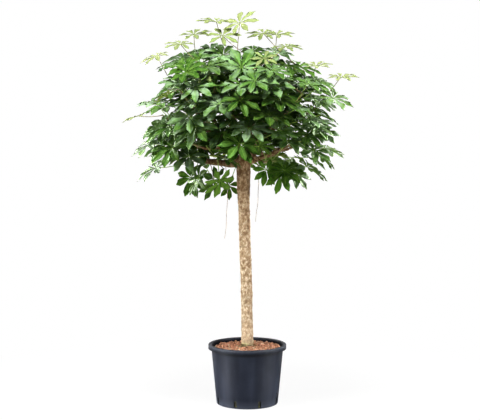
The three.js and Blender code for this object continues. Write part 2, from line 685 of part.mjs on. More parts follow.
function isClear(solid, owner, isRoofed) {
  const box = boxOf(solid);
  const points = solid.getMesh().vertProperties;
  const point = new THREE.Vector3();
  for (let at = 0; at < points.length; at += 3) {
    point.fromArray(points, at);
    if (isRoofed && !isUnderRoof(point)) return false;
    if (zones.some((zone) => zone.containsPoint(point))) return false;
  }
  return placed.every(
    (other) => other.owner === owner || !other.box.intersectsBox(box)
      || other.solid.minGap(solid, 2 * CLEARANCE) > CLEARANCE,
  );
}

// The first try that is clear of everything else, or nothing
function growLeaf(poseAt, owner) {
  for (let attempt = 0; attempt < TRIES; attempt += 1) {
    const leaf = poseAt(attempt);
    const solid = leafSolid(leaf);
    if (isClear(solid, owner, leaf.roofed)) {
      place(solid, `${owner} leaf`);
      return solid;
    }
  }
  return null;
}

// The stem whose tip is nearest a hub, better if it points the hub's way
function nearestStem(stems, hub) {
  const at = new THREE.Vector3(...hub);
  const tip = (stem) => along(stem.foot, stem.heading, stem.length);
  const onward = (stem) => at.clone().sub(tip(stem)).normalize().dot(stem.heading);
  const score = (stem) => tip(stem).distanceTo(at) - 60 * onward(stem);
  return stems.reduce((best, stem) => (score(stem) < score(best) ? stem : best));
}

const stems = planStems();
const trunk = buildTrunk(stems);
place(trunk, 'trunk');
stems.forEach((stem) => {
  stem.name = `leafy_stem_${String(stem.number).padStart(2, '0')}`;
  stem.parts = [stemSolid(stem)];
  place(stem.parts[0], stem.name);
});

// A young shoot stands on the tip of the leafy stem below it
const freeStems = [...stems];
const shoots = YOUNG_SHOOTS.map((leaves, order) => {
  const base = nearestStem(freeStems, leaves[0].hub);
  freeStems.splice(freeStems.indexOf(base), 1);
  const foot = along(base.foot, base.heading, base.length);
  const { heading } = base;
  const shoot = { number: FIRST_SHOOT + order, foot, heading, length: SHOOT_LENGTH };
  shoot.name = `young_shoot_${String(order + 1).padStart(2, '0')}`;
  const curve = new THREE.LineCurve3(along(foot, heading, GAP), along(foot, heading, SHOOT_LENGTH));
  shoot.parts = [taper(curve, 1, STEM_SIDES, SHOOT_RADIUS, SHOOT_TIP_RADIUS)];
  place(shoot.parts[0], shoot.name);
  shoot.leaves = leaves;
  return shoot;
});

shoots.forEach((shoot) => {
  shoot.leaves.forEach((leaf, order) => {
    const key = shoot.number * 10 + order;
    const given = { facing: [0, -0.25, 1], length: YOUNG.length, ...leaf };
    const solid = growLeaf((attempt) => placedLeaf(YOUNG, key, shoot, given, attempt), shoot.name);
    if (solid) shoot.parts.push(solid);
  });
});

FRONT_LEAVES.forEach((leaf, order) => {
  const stem = nearestStem(stems, leaf.hub);
  const key = 900 + order;
  const solid = growLeaf((attempt) => placedLeaf(MATURE, key, stem, leaf, attempt), stem.name);
  if (solid) stem.parts.push(solid);
});

const mostLeaves = Math.max(...TIERS.map((tier) => tier.leaves));
for (let order = mostLeaves - 1; order >= 0; order -= 1) {
  stems.filter((stem) => order < stem.leaves).forEach((stem) => {
    const solid = growLeaf((attempt) => spiralLeaf(stem, order, attempt), stem.name);
    if (solid) stem.parts.push(solid);
  });
}

const plant = new THREE.Group();
plant.add(meshOf('pot', buildPot(), FINISHES.plastic));
plant.add(meshOf('soil', buildSoil(), FINISHES.soil));
plant.add(meshOf('clay_granules', buildGranules(), FINISHES.clay));
plant.add(meshOf('trunk', trunk, FINISHES.bark));
const addSpray = ({ name, parts }, finish) => plant.add(meshOf(name, joined(parts, LEAF_SLIVER), finish));
stems.forEach((stem) => addSpray(stem, FINISHES.leaf));
shoots.forEach((shoot) => addSpray(shoot, FINISHES.youngLeaf));

export default plant;
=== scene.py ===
"""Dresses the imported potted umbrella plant: pot, soil, clay granules, bark and leaves.

Shapes are worked out in millimetres, with +Z up, the pot's base at zero and the best side
facing -Y. A mesh is written in metres.
"""

import json
import logging
import math
from collections.abc import Callable
from dataclasses import dataclass, field
from enum import Enum, IntEnum
from typing import Any

import bpy
import numpy as np
from mathutils import Matrix

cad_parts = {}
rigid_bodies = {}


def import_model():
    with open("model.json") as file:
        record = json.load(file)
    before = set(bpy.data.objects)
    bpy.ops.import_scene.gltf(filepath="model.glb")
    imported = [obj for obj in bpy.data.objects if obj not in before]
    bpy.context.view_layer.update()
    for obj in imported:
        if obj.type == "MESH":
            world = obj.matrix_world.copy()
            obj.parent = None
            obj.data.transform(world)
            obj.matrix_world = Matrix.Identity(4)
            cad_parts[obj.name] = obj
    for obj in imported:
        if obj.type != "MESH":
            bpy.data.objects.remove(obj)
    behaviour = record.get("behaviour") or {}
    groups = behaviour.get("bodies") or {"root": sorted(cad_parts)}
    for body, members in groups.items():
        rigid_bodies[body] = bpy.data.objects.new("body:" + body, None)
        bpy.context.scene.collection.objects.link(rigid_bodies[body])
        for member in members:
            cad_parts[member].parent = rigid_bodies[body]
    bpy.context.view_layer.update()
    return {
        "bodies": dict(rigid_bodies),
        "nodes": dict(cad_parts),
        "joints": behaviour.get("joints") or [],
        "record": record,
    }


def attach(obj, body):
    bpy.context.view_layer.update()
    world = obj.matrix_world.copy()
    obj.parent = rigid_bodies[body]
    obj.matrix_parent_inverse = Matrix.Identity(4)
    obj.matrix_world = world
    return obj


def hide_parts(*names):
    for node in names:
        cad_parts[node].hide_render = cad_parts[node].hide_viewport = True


LOG = logging.getLogger("umbrella_plant")
BODY = "root"
UP = np.array([0.0, 0.0, 1.0])
# Metres in a millimetre.
MM = 0.001
# Millimetres that the solids leave free between two pieces.
GAP = 0.35

Array = np.ndarray
Number = float | np.ndarray
Span = tuple[float, float]
Point = tuple[float, float, float]
Colour = tuple[float, float, float]
Stops = tuple[tuple[float, Colour], ...]
Socket = bpy.types.NodeSocket
Finishes = list[bpy.types.Material]
Placed = tuple[Point, Point, Point, float]


# Numbers and shapes


def chance(a: float, b: float, c: float = 0) -> float:
    """Gives a steady number from 0 to 1 for three numbers: the fraction of a large sine.

    Args:
        a: First number.
        b: Second number.
        c: Third number.

    Returns:
        The number from 0 to 1.
    """
    wave = math.sin(a * 12.9898 + b * 78.233 + c * 37.719) * 43758.5453
    return wave - math.floor(wave)


def unit(vector: Array) -> Array:
    """Returns the vector, or each vector of an array, made one long."""
    return vector / np.linalg.norm(vector, axis=-1, keepdims=True)


def polar(azimuth: float, rise: float) -> Array:
    """Returns the direction at an azimuth from +X and a rise above level, both in degrees."""
    turn, lift = math.radians(azimuth), math.radians(rise)
    return np.array([math.cos(lift) * math.cos(turn), math.cos(lift) * math.sin(turn), math.sin(lift)])


def across(vector: Array, direction: Array) -> Array:
    """Finds the part of a vector that lies across a direction: v - (v . d) d, made one long.

    Args:
        vector: The vector.
        direction: The direction, one long.

    Returns:
        The part across it, or that of +X where the vector runs along the direction.
    """
    flat = vector - direction * float(vector @ direction)
    if np.linalg.norm(flat) < 1e-3:
        flat = np.array([1.0, 0.0, 0.0]) - direction * direction[0]
    return unit(flat)


def lerp(low: Number, high: Number, share: Number) -> Number:
    """Returns the value a share of the way from low to high."""
    return low + (high - low) * share


def smoothstep(value: Number, low: float, high: float) -> Number:
    """Returns 0 below low, 1 above high, and 3s^2 - 2s^3 between them."""
    share = np.clip((value - low) / (high - low), 0.0, 1.0)
    return share * share * (3 - 2 * share)


def bezier(start: Array, middle: Array, end: Array, shares: Number) -> Array:
    """Returns points of the quadratic curve (1-s)^2 start + 2s(1-s) middle + s^2 end."""
    s = np.asarray(shares, float)[..., None]
    return (1 - s) ** 2 * start + 2 * s * (1 - s) * middle + s**2 * end


def turns(count: int) -> Array:
    """Returns evenly spaced angles once round a circle, from 0."""
    return np.arange(count) / count * 2 * np.pi


def grid_faces(rows: int, columns: int, ring: bool = False) -> Array:
    """Numbers the quads of a grid whose points are counted row by row.

    Args:
        rows: Rows of points.
        columns: Points in a row.
        ring: True if each row closes on itself.

    Returns:
        Four point numbers for each quad. They face away from a tube's axis.
    """
    quads = columns if ring else columns - 1
    row, column = np.meshgrid(np.arange(rows - 1), np.arange(quads), indexing="ij")
    after = (column + 1) % columns
    corners = [
        row * columns + column,
        row * columns + after,
        (row + 1) * columns + after,
        (row + 1) * columns + column,
    ]
    return np.stack(corners, -1).reshape(-1, 4)


def end_caps(rings: int, sides: int) -> Array:
    """Numbers the triangles that close a tube by a point at each end.

    Args:
        rings: Rings of points in the tube.
        sides: Points in a ring.

    Returns:
        Three point numbers for each triangle. The foot's point is counted after the rings, and
        the top's point after the foot's.
    """
    side = np.arange(sides)
    after = (side + 1) % sides
    last = (rings - 1) * sides
    foot, top = np.full(sides, rings * sides), np.full(sides, rings * sides + 1)
    return np.concatenate([np.stack([after, side, foot], -1), np.stack([last + side, last + after, top], -1)])


def rotations(quaternions: Array) -> Array:
    """Works out the turning matrix of each quaternion (w, x, y, z), one long.

    Args:
        quaternions: One row of four numbers for each.

    Returns:
        One matrix of three rows for each.
    """
    w, x, y, z = quaternions.T
    rows = [
        [1 - 2 * (y * y + z * z), 2 * (x * y - z * w), 2 * (x * z + y * w)],
        [2 * (x * y + z * w), 1 - 2 * (x * x + z * z), 2 * (y * z - x * w)],
        [2 * (x * z - y * w), 2 * (y * z + x * w), 1 - 2 * (x * x + y * y)],
    ]
    return np.stack([np.stack(row, -1) for row in rows], -2)


@dataclass
class Shell:
    """One closed surface: points in millimetres, and faces with the number of their finish."""

    points: Array
    faces: list[tuple[Array, int]]
    values: dict[str, Array] = field(default_factory=dict)


class PieceMesh:
    """Shells gathered into one piece of the scene."""

    # The leaves' tint holds painted light and shade, and another of these values their painted sheen.
    VALUES = ("tint", "painted_sheen", "along", "aside")

    def __init__(self, name: str) -> None:
        """Starts an empty piece with its name."""
        self.name = name
        self.shells: list[Shell] = []

    def add(self, *shells: Shell) -> None:
        """Adds shells to the piece."""
        self.shells.extend(shells)

    def build(self, finishes: Finishes, crease: float | None = None) -> bpy.types.Object:
        """Writes the shells into one smooth-shaded mesh object.

        Args:
            finishes: Materials, in the order of the faces' numbers.
            crease: Angle in degrees past which an edge is left sharp, or None.

        Returns:
            The object, at the origin, in the scene.
        """
        first = np.cumsum([0] + [len(shell.points) for shell in self.shells[:-1]])
        groups = [
            (faces + start, slot)
            for shell, start in zip(self.shells, first)
            for faces, slot in shell.faces
        ]
        points = np.concatenate([shell.points for shell in self.shells]) * MM
        corners = np.concatenate([faces.ravel() for faces, _ in groups])
        sizes = np.concatenate([np.full(len(faces), faces.shape[1]) for faces, _ in groups])
        slots = np.concatenate([np.full(len(faces), slot) for faces, slot in groups])
        mesh = bpy.data.meshes.new(self.name)
        mesh.vertices.add(len(points))
        mesh.vertices.foreach_set("co", points.astype(np.float32).ravel())
        mesh.loops.add(len(corners))
        mesh.loops.foreach_set("vertex_index", corners.astype(np.int32))
        mesh.polygons.add(len(sizes))
        mesh.polygons.foreach_set("loop_start", (np.cumsum(sizes) - sizes).astype(np.int32))
        mesh.polygons.foreach_set("material_index", slots.astype(np.int32))
        mesh.update(calc_edges=True)
        for name in self.VALUES:
            if any(name in shell.values for shell in self.shells):
                values = [shell.values.get(name, np.zeros(len(shell.points))) for shell in self.shells]
                attribute = mesh.attributes.new(name, "FLOAT", "POINT")
                attribute.data.foreach_set("value", np.concatenate(values).astype(np.float32))
        mesh.shade_smooth()
        if crease is not None:
            mesh.set_sharp_from_angle(angle=math.radians(crease))
        for finish in finishes:
            mesh.materials.append(finish)
        piece = bpy.data.objects.new(self.name, mesh)
        bpy.context.scene.collection.objects.link(piece)
        return piece


def settle(piece: bpy.types.Object, node: str, slot: str) -> None:
    """Puts a piece in place of a CAD node, on the plant's body, and reports it.

    Args:
        piece: The piece.
        node: The node's name.
        slot: The slot's name; not used.
    """
    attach(piece, BODY)
    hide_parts(node)
    LOG.info("%s: %d faces", piece.name, len(piece.data.polygons))


def dress_node(frame: dict[str, Any], node: str, finish: bpy.types.Material) -> None:
    """Gives a CAD node its finish, leaves its shape alone and reports it.

    Args:
        frame: The loaded frame.
        node: The node's name.
        finish: Its material.
    """
    data = frame["nodes"][node].data
    data.materials.clear()
    data.materials.append(finish)
    LOG.info("%s: dressed, %d faces", node, len(data.polygons))


def tube(path: Array, radii: Array, sides: int, slot: int = 0, **values: Number) -> Shell:
    """Carries a ring along a path: point + radius (cos t u + sin t v), with u and v across the path.

    Args:
        path: Points of the path, one for each ring.
        radii: Radius of each ring, or of each point of each ring.
        sides: Points in a ring.
        slot: Number of the finish.
        values: Named values, one number for all points or one for each ring.

    Returns:
        The tube, closed at both ends by a point.
    """
    path = np.asarray(path, float)
    rings = len(path)
    heading = unit(np.gradient(path, axis=0))
    mean = np.abs(unit(path[-1] - path[0]))
    reference = np.eye(3)[int(np.argmin(mean))]
    u = unit(reference - heading * (heading @ reference)[:, None])
    v = np.cross(heading, u)
    turn = turns(sides)
    reach = np.broadcast_to(np.asarray(radii, float).reshape(rings, -1), (rings, sides))[..., None]
    wall = path[:, None] + reach * (np.cos(turn)[:, None] * u[:, None] + np.sin(turn)[:, None] * v[:, None])
    points = np.concatenate([wall.reshape(-1, 3), path[:1], path[-1:]])
    faces = [(grid_faces(rings, sides, True), slot), (end_caps(rings, sides), slot)]
    spread = {}
    for name, value in values.items():
        each = np.broadcast_to(np.asarray(value, float), (rings,))
        spread[name] = np.concatenate([np.repeat(each, sides), each[:1], each[-1:]])
    return Shell(points, faces, spread)


def lathe(profile: Array, sides: int) -> Shell:
    """Turns a profile of (radius, height) about the Z axis: (r cos t, r sin t, h).

    Args:
        profile: Points from the axis, out, up and back to the axis.
        sides: Points in a ring.

    Returns:
        The turned surface, closed on the axis at both ends.
    """
    turn = turns(sides)
    ring = np.stack([np.cos(turn), np.sin(turn), np.zeros(sides)], -1)
    middle = profile[1:-1]
    rings = len(middle)
    wall = middle[:, None, :1] * ring + middle[:, None, 1:] * UP
    ends = [[0, 0, profile[0, 1]], [0, 0, profile[-1, 1]]]
    points = np.concatenate([wall.reshape(-1, 3), ends])
    return Shell(points, [(grid_faces(rings, sides, True), 0), (end_caps(rings, sides), 0)])


def rounded(corners: list[tuple[float, float, float]], steps: int = 5) -> Array:
    """Rounds a profile's corners: each is replaced by a short quadratic curve between its two edges.

    Args:
        corners: Radius, height and rounding of each corner.
        steps: Points in each rounded corner.

    Returns:
        The profile's points.
    """
    points = []
    shares = np.linspace(0, 1, steps)
    for order, (radius, height, rounding) in enumerate(corners):
        here = np.array([radius, height])
        if rounding == 0:
            points.append(here[None])
            continue
        before = np.array(corners[order - 1][:2]) - here
        after = np.array(corners[order + 1][:2]) - here
        size = min(rounding, 0.45 * np.linalg.norm(before), 0.45 * np.linalg.norm(after))
        points.append(bezier(here + unit(before) * size, here, here + unit(after) * size, shares))
    return np.concatenate(points)


# Finishes


class Shader:
    """A material's nodes, added one at a time."""

    def __init__(self, name: str) -> None:
        """Starts a material with no nodes but its output.

        Args:
            name: The material's name.
        """
        self.material = bpy.data.materials.new(name)
        self.material.use_nodes = True
        self.tree = self.material.node_tree
        self.tree.nodes.clear()
        self.output = self.tree.nodes.new("ShaderNodeOutputMaterial")

    def node(self, kind: str, inputs: dict[str | int, Any] | None = None, **settings: Any) -> bpy.types.Node:
        """Adds a node.

        Args:
            kind: The node's type, without its first words.
            inputs: Input name or number to a value, or to the socket that feeds it.
            settings: The node's own settings.

        Returns:
            The node.
        """
        made = self.tree.nodes.new(f"ShaderNode{kind}")
        for name, value in settings.items():
            setattr(made, name, value)
        for name, value in (inputs or {}).items():
            if isinstance(value, Socket):
                self.tree.links.new(value, made.inputs[name])
            else:
                made.inputs[name].default_value = value
        return made

    def place(self, scale: Point = (1, 1, 1)) -> Socket:
        """Gives the object's own coordinates.

        Args:
            scale: How far they are stretched along X, Y and Z.

        Returns:
            The coordinates' socket.
        """
        if "Object Place" not in self.tree.nodes:
            self.node("TexCoord").name = "Object Place"
        source = self.tree.nodes["Object Place"].outputs["Object"]
        if scale == (1, 1, 1):
            return source
        return self.node("Mapping", {"Vector": source, "Scale": scale}).outputs["Vector"]

    def height(self) -> Socket:
        """Returns the height above the floor, in metres."""
        return self.node("SeparateXYZ", {0: self.place()}).outputs[2]

    def distance(self, scale: Point = (1, 1, 1)) -> Socket:
        """Returns how far a place is from the origin, in metres, once it is stretched by a scale."""
        return self.node("VectorMath", {0: self.place(scale)}, operation="LENGTH").outputs["Value"]

    def value(self, name: str) -> Socket:
        """Returns a named value that the mesh carries."""
        return self.node("Attribute", attribute_name=name).outputs["Fac"]

    def noise(self, scale: float, detail: float = 4, stretch: Point = (1, 1, 1)) -> Socket:
        """Returns cloudy noise from 0 to 1, its scale in lumps per metre."""
        inputs = {"Vector": self.place(stretch), "Scale": scale, "Detail": detail}
        return self.node("TexNoise", inputs).outputs["Fac"]

    def fit(self, value: Socket, low: float, high: float, to: Span = (0, 1)) -> Socket:
        """Returns the value moved from low and high to a new range, and kept inside it."""
        inputs = {"Value": value, "From Min": low, "From Max": high, "To Min": to[0], "To Max": to[1]}
        return self.node("MapRange", inputs, clamp=True).outputs["Result"]

    def math(self, operation: str, first: Socket | float, second: Socket | float = 0.0) -> Socket:
        """Returns a sum, product or other operation on two values."""
        return self.node("Math", {0: first, 1: second}, operation=operation).outputs[0]

    def mix(self, share: Any, first: Any, second: Any, blend: str = "MIX") -> Socket:
        """Mixes two colours. Each input is a socket, or a number or colour of its own.

        Args:
            share: How far to go from the first to the second, from 0 to 1.
            first: The first colour.
            second: The second colour.
            blend: How they mix.

        Returns:
            The mixed colour.
        """
        made = self.node("Mix", data_type="RGBA", blend_type=blend)
        for socket, value in zip((made.inputs[0], made.inputs[6], made.inputs[7]), (share, first, second)):
            if isinstance(value, Socket):
                self.tree.links.new(value, socket)
            else:
                socket.default_value = value if isinstance(value, float) else (*value, 1.0)
        return made.outputs[2]

    def ramp(self, value: Socket, stops: Stops) -> Socket:
        """Colours a value by a ramp.

        Args:
            value: The value, from 0 to 1.
            stops: Places on the ramp, each with its colour.

        Returns:
            The colour at the value.
        """
        made = self.node("ValToRGB", {"Fac": value})
        elements = made.color_ramp.elements
        for order, (place, colour) in enumerate(stops):
            element = elements[order] if order < 2 else elements.new(place)
            element.position = place
            element.color = (*colour, 1.0)
        return made.outputs["Color"]

    def bump(self, height: Socket, depth: float, strength: float = 1.0) -> Socket:
        """Returns normals raised by a height from 0 to 1 over a depth in metres."""
        inputs = {"Height": height, "Distance": depth, "Strength": strength}
        return self.node("Bump", inputs).outputs["Normal"]

    def skin(self, colour: Socket, rough: Socket, normal: Socket, shine: float = 0.5) -> bpy.types.Node:
        """Returns the surface's own shader; shine is its specular level, the same all over."""
        inputs = {"Base Color": colour, "Roughness": rough, "Normal": normal, "Specular IOR Level": shine}
        return self.node("BsdfPrincipled", inputs)

    def finish(self, surface: bpy.types.Node) -> bpy.types.Material:
        """Ends the material with its surface and returns it."""
        self.tree.links.new(surface.outputs[0], self.output.inputs["Surface"])
        return self.material


@dataclass(frozen=True)
class MouldedPlastic:
    """Satin slate-grey plastic with a faint dust, streaks and fine grain. Heights are in metres."""

    name: str = "moulded_plastic"
    deep: Colour = (0.0053, 0.0073, 0.0137)
    dusty: Colour = (0.0135, 0.0168, 0.0270)
    fleck: Colour = (0.07, 0.08, 0.10)
    # The lip colour is a painted highlight on the lip's top, speckled like dust.
    lip: Colour = (0.066, 0.072, 0.086)
    # Painted shadow: a near-black band on the wall just under the lip.
    lip_shadow: Colour = (0.002, 0.003, 0.005)
    foot: Colour = (0.033, 0.038, 0.052)
    lip_highlight_heights: Span = (0.2205, 0.229)
    lip_shadow_from: Span = (0.198, 0.209)
    lip_shadow_to: Span = (0.213, 0.2195)
    foot_heights: Span = (0.002, 0.034)
    shine: float = 0.14

    def material(self) -> bpy.types.Material:
        """Builds the material: dust lies in clouds and in streaks; the lip's top has a painted highlight,
        speckled like dust, and the wall under the lip a painted shadow. The wall grows lighter towards
        its foot.

        Returns:
            The material.
        """
        shader = Shader(self.name)
        cloud = shader.noise(9, 5)
        streak = shader.noise(30, 3, (1, 1, 0.08))
        patch = shader.math("MULTIPLY", cloud, streak)
        colour = shader.mix(shader.fit(patch, 0.16, 0.42), self.deep, self.dusty)
        fleck = shader.fit(shader.noise(420, 2), 0.69, 0.76, (0, 0.5))
        colour = shader.mix(fleck, colour, self.fleck)
        height = shader.height()
        speckle = shader.fit(shader.noise(240, 3), 0.38, 0.62, (0.45, 1.0))
        # Painted highlight: the lip's top is painted lighter where light falls on it, speckled like dust.
        dust = shader.math("MULTIPLY", shader.fit(height, *self.lip_highlight_heights), speckle)
        colour = shader.mix(dust, colour, self.lip)
        # Painted shadow: a dark band on the wall just under the lip's overhang.
        rising = shader.fit(height, *self.lip_shadow_from)
        falling = shader.fit(height, *self.lip_shadow_to, (0.92, 0.0))
        colour = shader.mix(shader.math("MULTIPLY", rising, falling), colour, self.lip_shadow)
        colour = shader.mix(shader.fit(height, *self.foot_heights, (0.8, 0.0)), colour, self.foot)
        rough = shader.fit(cloud, 0.3, 0.7, (0.42, 0.56))
        grain = shader.bump(shader.noise(900, 2), 0.0002, 0.35)
        return shader.finish(shader.skin(colour, rough, grain, self.shine))


@dataclass(frozen=True)
class PottingSoil:
    """Dark damp soil with crumbs and pale fibres."""

    name: str = "potting_soil"
    crumbs: Stops = (
        (0.34, (0.003, 0.003, 0.002)),
        (0.52, (0.016, 0.014, 0.006)),
        (0.68, (0.08, 0.09, 0.028)),
    )

    def material(self) -> bpy.types.Material:
        """Builds the material from crumbs of many sizes.

        Returns:
            The material.
        """
        shader = Shader(self.name)
        crumb = shader.noise(170, 6)
        rough = shader.fit(crumb, 0.3, 0.7, (0.75, 0.95))
        return shader.finish(shader.skin(shader.ramp(crumb, self.crumbs), rough, shader.bump(crumb, 0.003)))


@dataclass(frozen=True)
class FiredClay:
    """Dull terracotta granules, each with its own shade, and a little moss by the trunk."""

    name: str = "fired_clay"
    # Darkens the colour; on the bed it is painted shade between the grains.
    shade: float = 1.0
    shades: Stops = (
        (0.0, (0.12, 0.050, 0.028)),
        (0.3, (0.53, 0.260, 0.155)),
        (0.7, (0.83, 0.490, 0.325)),
        (0.92, (0.90, 0.60, 0.43)),
        (1.0, (0.78, 0.70, 0.52)),
    )
    pore: Colour = (0.12, 0.04, 0.02)
    moss: Colour = (0.16, 0.20, 0.05)
    moss_reach: Span = (0.024, 0.048)

    def material(self) -> bpy.types.Material:
        """Builds the material: the grain's own tint, pores, green where the trunk stands, and a darkening
        by the shade, which on the bed is painted shade between the grains.

        Returns:
            The material.
        """
        shader = Shader(self.name)
        colour = shader.ramp(shader.value("tint"), self.shades)
        pores = shader.noise(700, 4)
        colour = shader.mix(shader.fit(pores, 0.35, 0.62, (0.55, 0.0)), colour, self.pore)
        near = shader.fit(shader.distance((1, 1, 0)), *self.moss_reach, (1.0, 0.0))
        moss = shader.math("MULTIPLY", near, shader.fit(shader.noise(60, 3), 0.42, 0.6))
        colour = shader.mix(shader.math("MULTIPLY", moss, 0.8), colour, self.moss)
        # Darkening by the shade: painted shade on the bed between the grains.
        colour = shader.mix(1.0, colour, (self.shade, self.shade, self.shade), "MULTIPLY")
        rough = shader.fit(pores, 0.3, 0.7, (0.8, 0.95))
        return shader.finish(shader.skin(colour, rough, shader.bump(pores, 0.0008)))


@dataclass(frozen=True)
class Bark:
    """Pale tan bark, mottled and rough, mossy at its foot, and browner and darker by the fork: partly
    browner bark, partly painted shade under the crown.

    Heights are in metres. The ring scars are a sine of the height, shifted by noise.
    """

    name: str = "bark"
    cork: Stops = (
        (0.32, (0.200, 0.122, 0.065)),
        (0.43, (0.355, 0.255, 0.155)),
        (0.51, (0.475, 0.370, 0.250)),
        (0.60, (0.680, 0.580, 0.445)),
    )
    crack: Colour = (0.22, 0.13, 0.07)
    ring: Colour = (0.19, 0.115, 0.06)
    # Multiplied in towards the fork: partly the browner bark there, partly painted shade under the crown.
    crown: Colour = (0.36, 0.265, 0.145)
    foot: Colour = (0.375, 0.32, 0.245)
    moss: Colour = (0.24, 0.24, 0.07)
    brown_and_shade_heights: Span = (0.62, 0.93)
    foot_heights: Span = (0.25, 0.5)
    moss_heights: Span = (0.226, 0.248)
    ring_waves: float = 88.0
    ring_sway: float = 9.0
    shine: float = 0.25

    def material(self) -> bpy.types.Material:
        """Builds the material from cork patches, cracks, ring scars and pores, toned by height; by the
        fork it is darker, partly browner bark and partly painted shade under the crown.

        Returns:
            The material.
        """
        shader = Shader(self.name)
        height = shader.height()
        cork = shader.noise(100, 5, (1, 1, 0.75))
        colour = shader.ramp(cork, self.cork)
        cell_inputs = {"Vector": shader.place((1, 1, 0.55)), "Scale": 150.0}
        cells = shader.node("TexVoronoi", cell_inputs, feature="DISTANCE_TO_EDGE")
        crack = shader.fit(cells.outputs["Distance"], 0.02, 0.16, (0.5, 0.0))
        colour = shader.mix(crack, colour, self.crack)
        sway = shader.math("MULTIPLY", shader.noise(24, 2), self.ring_sway)
        turn = shader.math("ADD", shader.math("MULTIPLY", height, self.ring_waves), sway)
        ring = shader.fit(shader.math("SINE", turn), 0.9, 0.99, (0.0, 0.5))
        colour = shader.mix(ring, colour, self.ring)
        # Towards the fork the colour is multiplied darker: browner bark, and painted shade under the crown.
        crown = shader.fit(height, *self.brown_and_shade_heights, (0.0, 0.85))
        colour = shader.mix(crown, colour, self.crown, "MULTIPLY")
        colour = shader.mix(shader.fit(height, *self.foot_heights, (0.45, 0.0)), colour, self.foot)
        low = shader.fit(height, *self.moss_heights, (0.8, 0.0))
        moss = shader.math("MULTIPLY", low, shader.fit(cork, 0.4, 0.6))
        colour = shader.mix(moss, colour, self.moss)
        fine = shader.noise(330, 4)
        relief = shader.math("ADD", shader.math("MULTIPLY", cork, 0.6), shader.math("MULTIPLY", fine, 0.4))
        relief = shader.math("SUBTRACT", relief, shader.math("MULTIPLY", crack, 0.3))
        rough = shader.fit(fine, 0.3, 0.7, (0.72, 0.92))
        return shader.finish(shader.skin(colour, rough, shader.bump(relief, 0.006), self.shine))


@dataclass(frozen=True)
class LeafFace:
    """One face of a leaf: a ramp of greens by the leaf's tint, a pale midrib and side veins."""

    name: str
    ramp: tuple[Colour, Colour, Colour]
    vein: Colour
    vein_share: float
    rough: Span
    through: float
    glow: Colour
    shine: float
    # Strength and colour of the painted sheen: a pale painted reflection of the bright backdrop.
    sheen_strength: float = 0.0
    painted_sheen: Colour = (0.295, 0.385, 0.285)
    gloss: Colour = (0.50, 0.95, 0.30)
    middle: float = 0.55
    slant: float = 0.26
    vein_waves: float = 58.0

    def material(self) -> bpy.types.Material:
        """Builds the material: a painted sheen in patches, and veins that leave the midrib at a slant.

        The side veins are the crests of sin(vein_waves (along - slant |aside|)).

        Returns:
            The material.
        """
        shader = Shader(self.name)
        tint, along, aside = (shader.value(name) for name in ("tint", "along", "aside"))
        dark, middle, light = self.ramp
        colour = shader.ramp(tint, ((0.0, dark), (self.middle, middle), (1.0, light)))
        cloud = shader.noise(55, 3)
        colour = shader.mix(shader.fit(cloud, 0.35, 0.7, (0.0, 0.3)), colour, light)
        # Painted sheen: a pale colour painted in patches where the leaf would mirror the bright backdrop, and
        # on leaves far out as painted rim light.
        patches = shader.fit(shader.noise(24, 2), 0.4, 0.6, (0.15 * self.sheen_strength, 1.6 * self.sheen_strength))
        painted_sheen = shader.math("MULTIPLY", shader.value("painted_sheen"), patches)
        colour = shader.mix(painted_sheen, colour, self.painted_sheen)
        off = shader.math("ABSOLUTE", aside)
        slant = shader.math("SUBTRACT", along, shader.math("MULTIPLY", off, self.slant))
        wave = shader.math("SINE", shader.math("MULTIPLY", slant, self.vein_waves))
        side_vein = shader.fit(wave, 0.72, 1.0)
        midrib = shader.fit(off, 0.03, 0.085, (1.0, 0.0))
        veins = shader.math("MAXIMUM", midrib, shader.math("MULTIPLY", side_vein, 0.4))
        colour = shader.mix(shader.math("MULTIPLY", veins, self.vein_share), colour, self.vein)
        puff, groove = shader.math("MULTIPLY", cloud, 0.3), shader.math("MULTIPLY", veins, 0.5)
        relief = shader.bump(shader.math("SUBTRACT", puff, groove), 0.0011, 0.8)
        face = shader.skin(colour, shader.fit(cloud, 0.3, 0.7, self.rough), relief, self.shine)
        face.inputs["Specular Tint"].default_value = (*self.gloss, 1.0)
        lit = shader.node("BsdfTranslucent", {"Color": shader.mix(0.55, colour, self.glow)})
        inputs = {0: self.through, 1: face.outputs[0], 2: lit.outputs[0]}
        return shader.finish(shader.node("MixShader", inputs))


@dataclass(frozen=True)
class Stalk:
    """A petiole's or stem's skin: one colour at its foot, another at its tip, with small pores."""

    name: str
    foot: Colour
    tip: Colour
    shine: float = 0.4

    def material(self) -> bpy.types.Material:
        """Builds the material by the place along the stalk.

        Returns:
            The material.
        """
        shader = Shader(self.name)
        colour = shader.mix(shader.value("along"), self.foot, self.tip)
        pores = shader.noise(260, 3)
        colour = shader.mix(shader.fit(pores, 0.5, 0.75, (0.0, 0.5)), colour, self.foot)
        rough = shader.fit(pores, 0.3, 0.7, (0.42, 0.6))
        return shader.finish(shader.skin(colour, rough, shader.bump(pores, 0.0006), self.shine))


@dataclass(frozen=True)
class StudioPaper:
    """A white floor that turns into the white of the backdrop away from the pot."""

    name: str = "studio_paper"
    grey: Colour = (0.90, 0.90, 0.90)
    pale: Colour = (0.93, 0.93, 0.93)
    fade: Span = (0.2, 1.4)
    white: Span = (0.95, 1.0)

    def material(self) -> bpy.types.Material:
        """Builds the material: paper near the origin, even light further out.

        Returns:
            The material.
        """
        shader = Shader(self.name)
        seen = shader.node("LightPath").outputs["Is Camera Ray"]
        far = shader.math("MULTIPLY", shader.fit(shader.distance(), *self.fade, self.white), seen)
        tone = shader.mix(shader.fit(shader.noise(40, 2), 0.3, 0.7, (0.0, 1.0)), self.grey, self.pale)
        paper = shader.node("BsdfDiffuse", {"Color": tone})
        light = shader.node("Emission", {"Color": (1, 1, 1, 1), "Strength": 1.0})
        return shader.finish(shader.node("MixShader", {0: far, 1: paper.outputs[0], 2: light.outputs[0]}))


# Pot, soil and granules


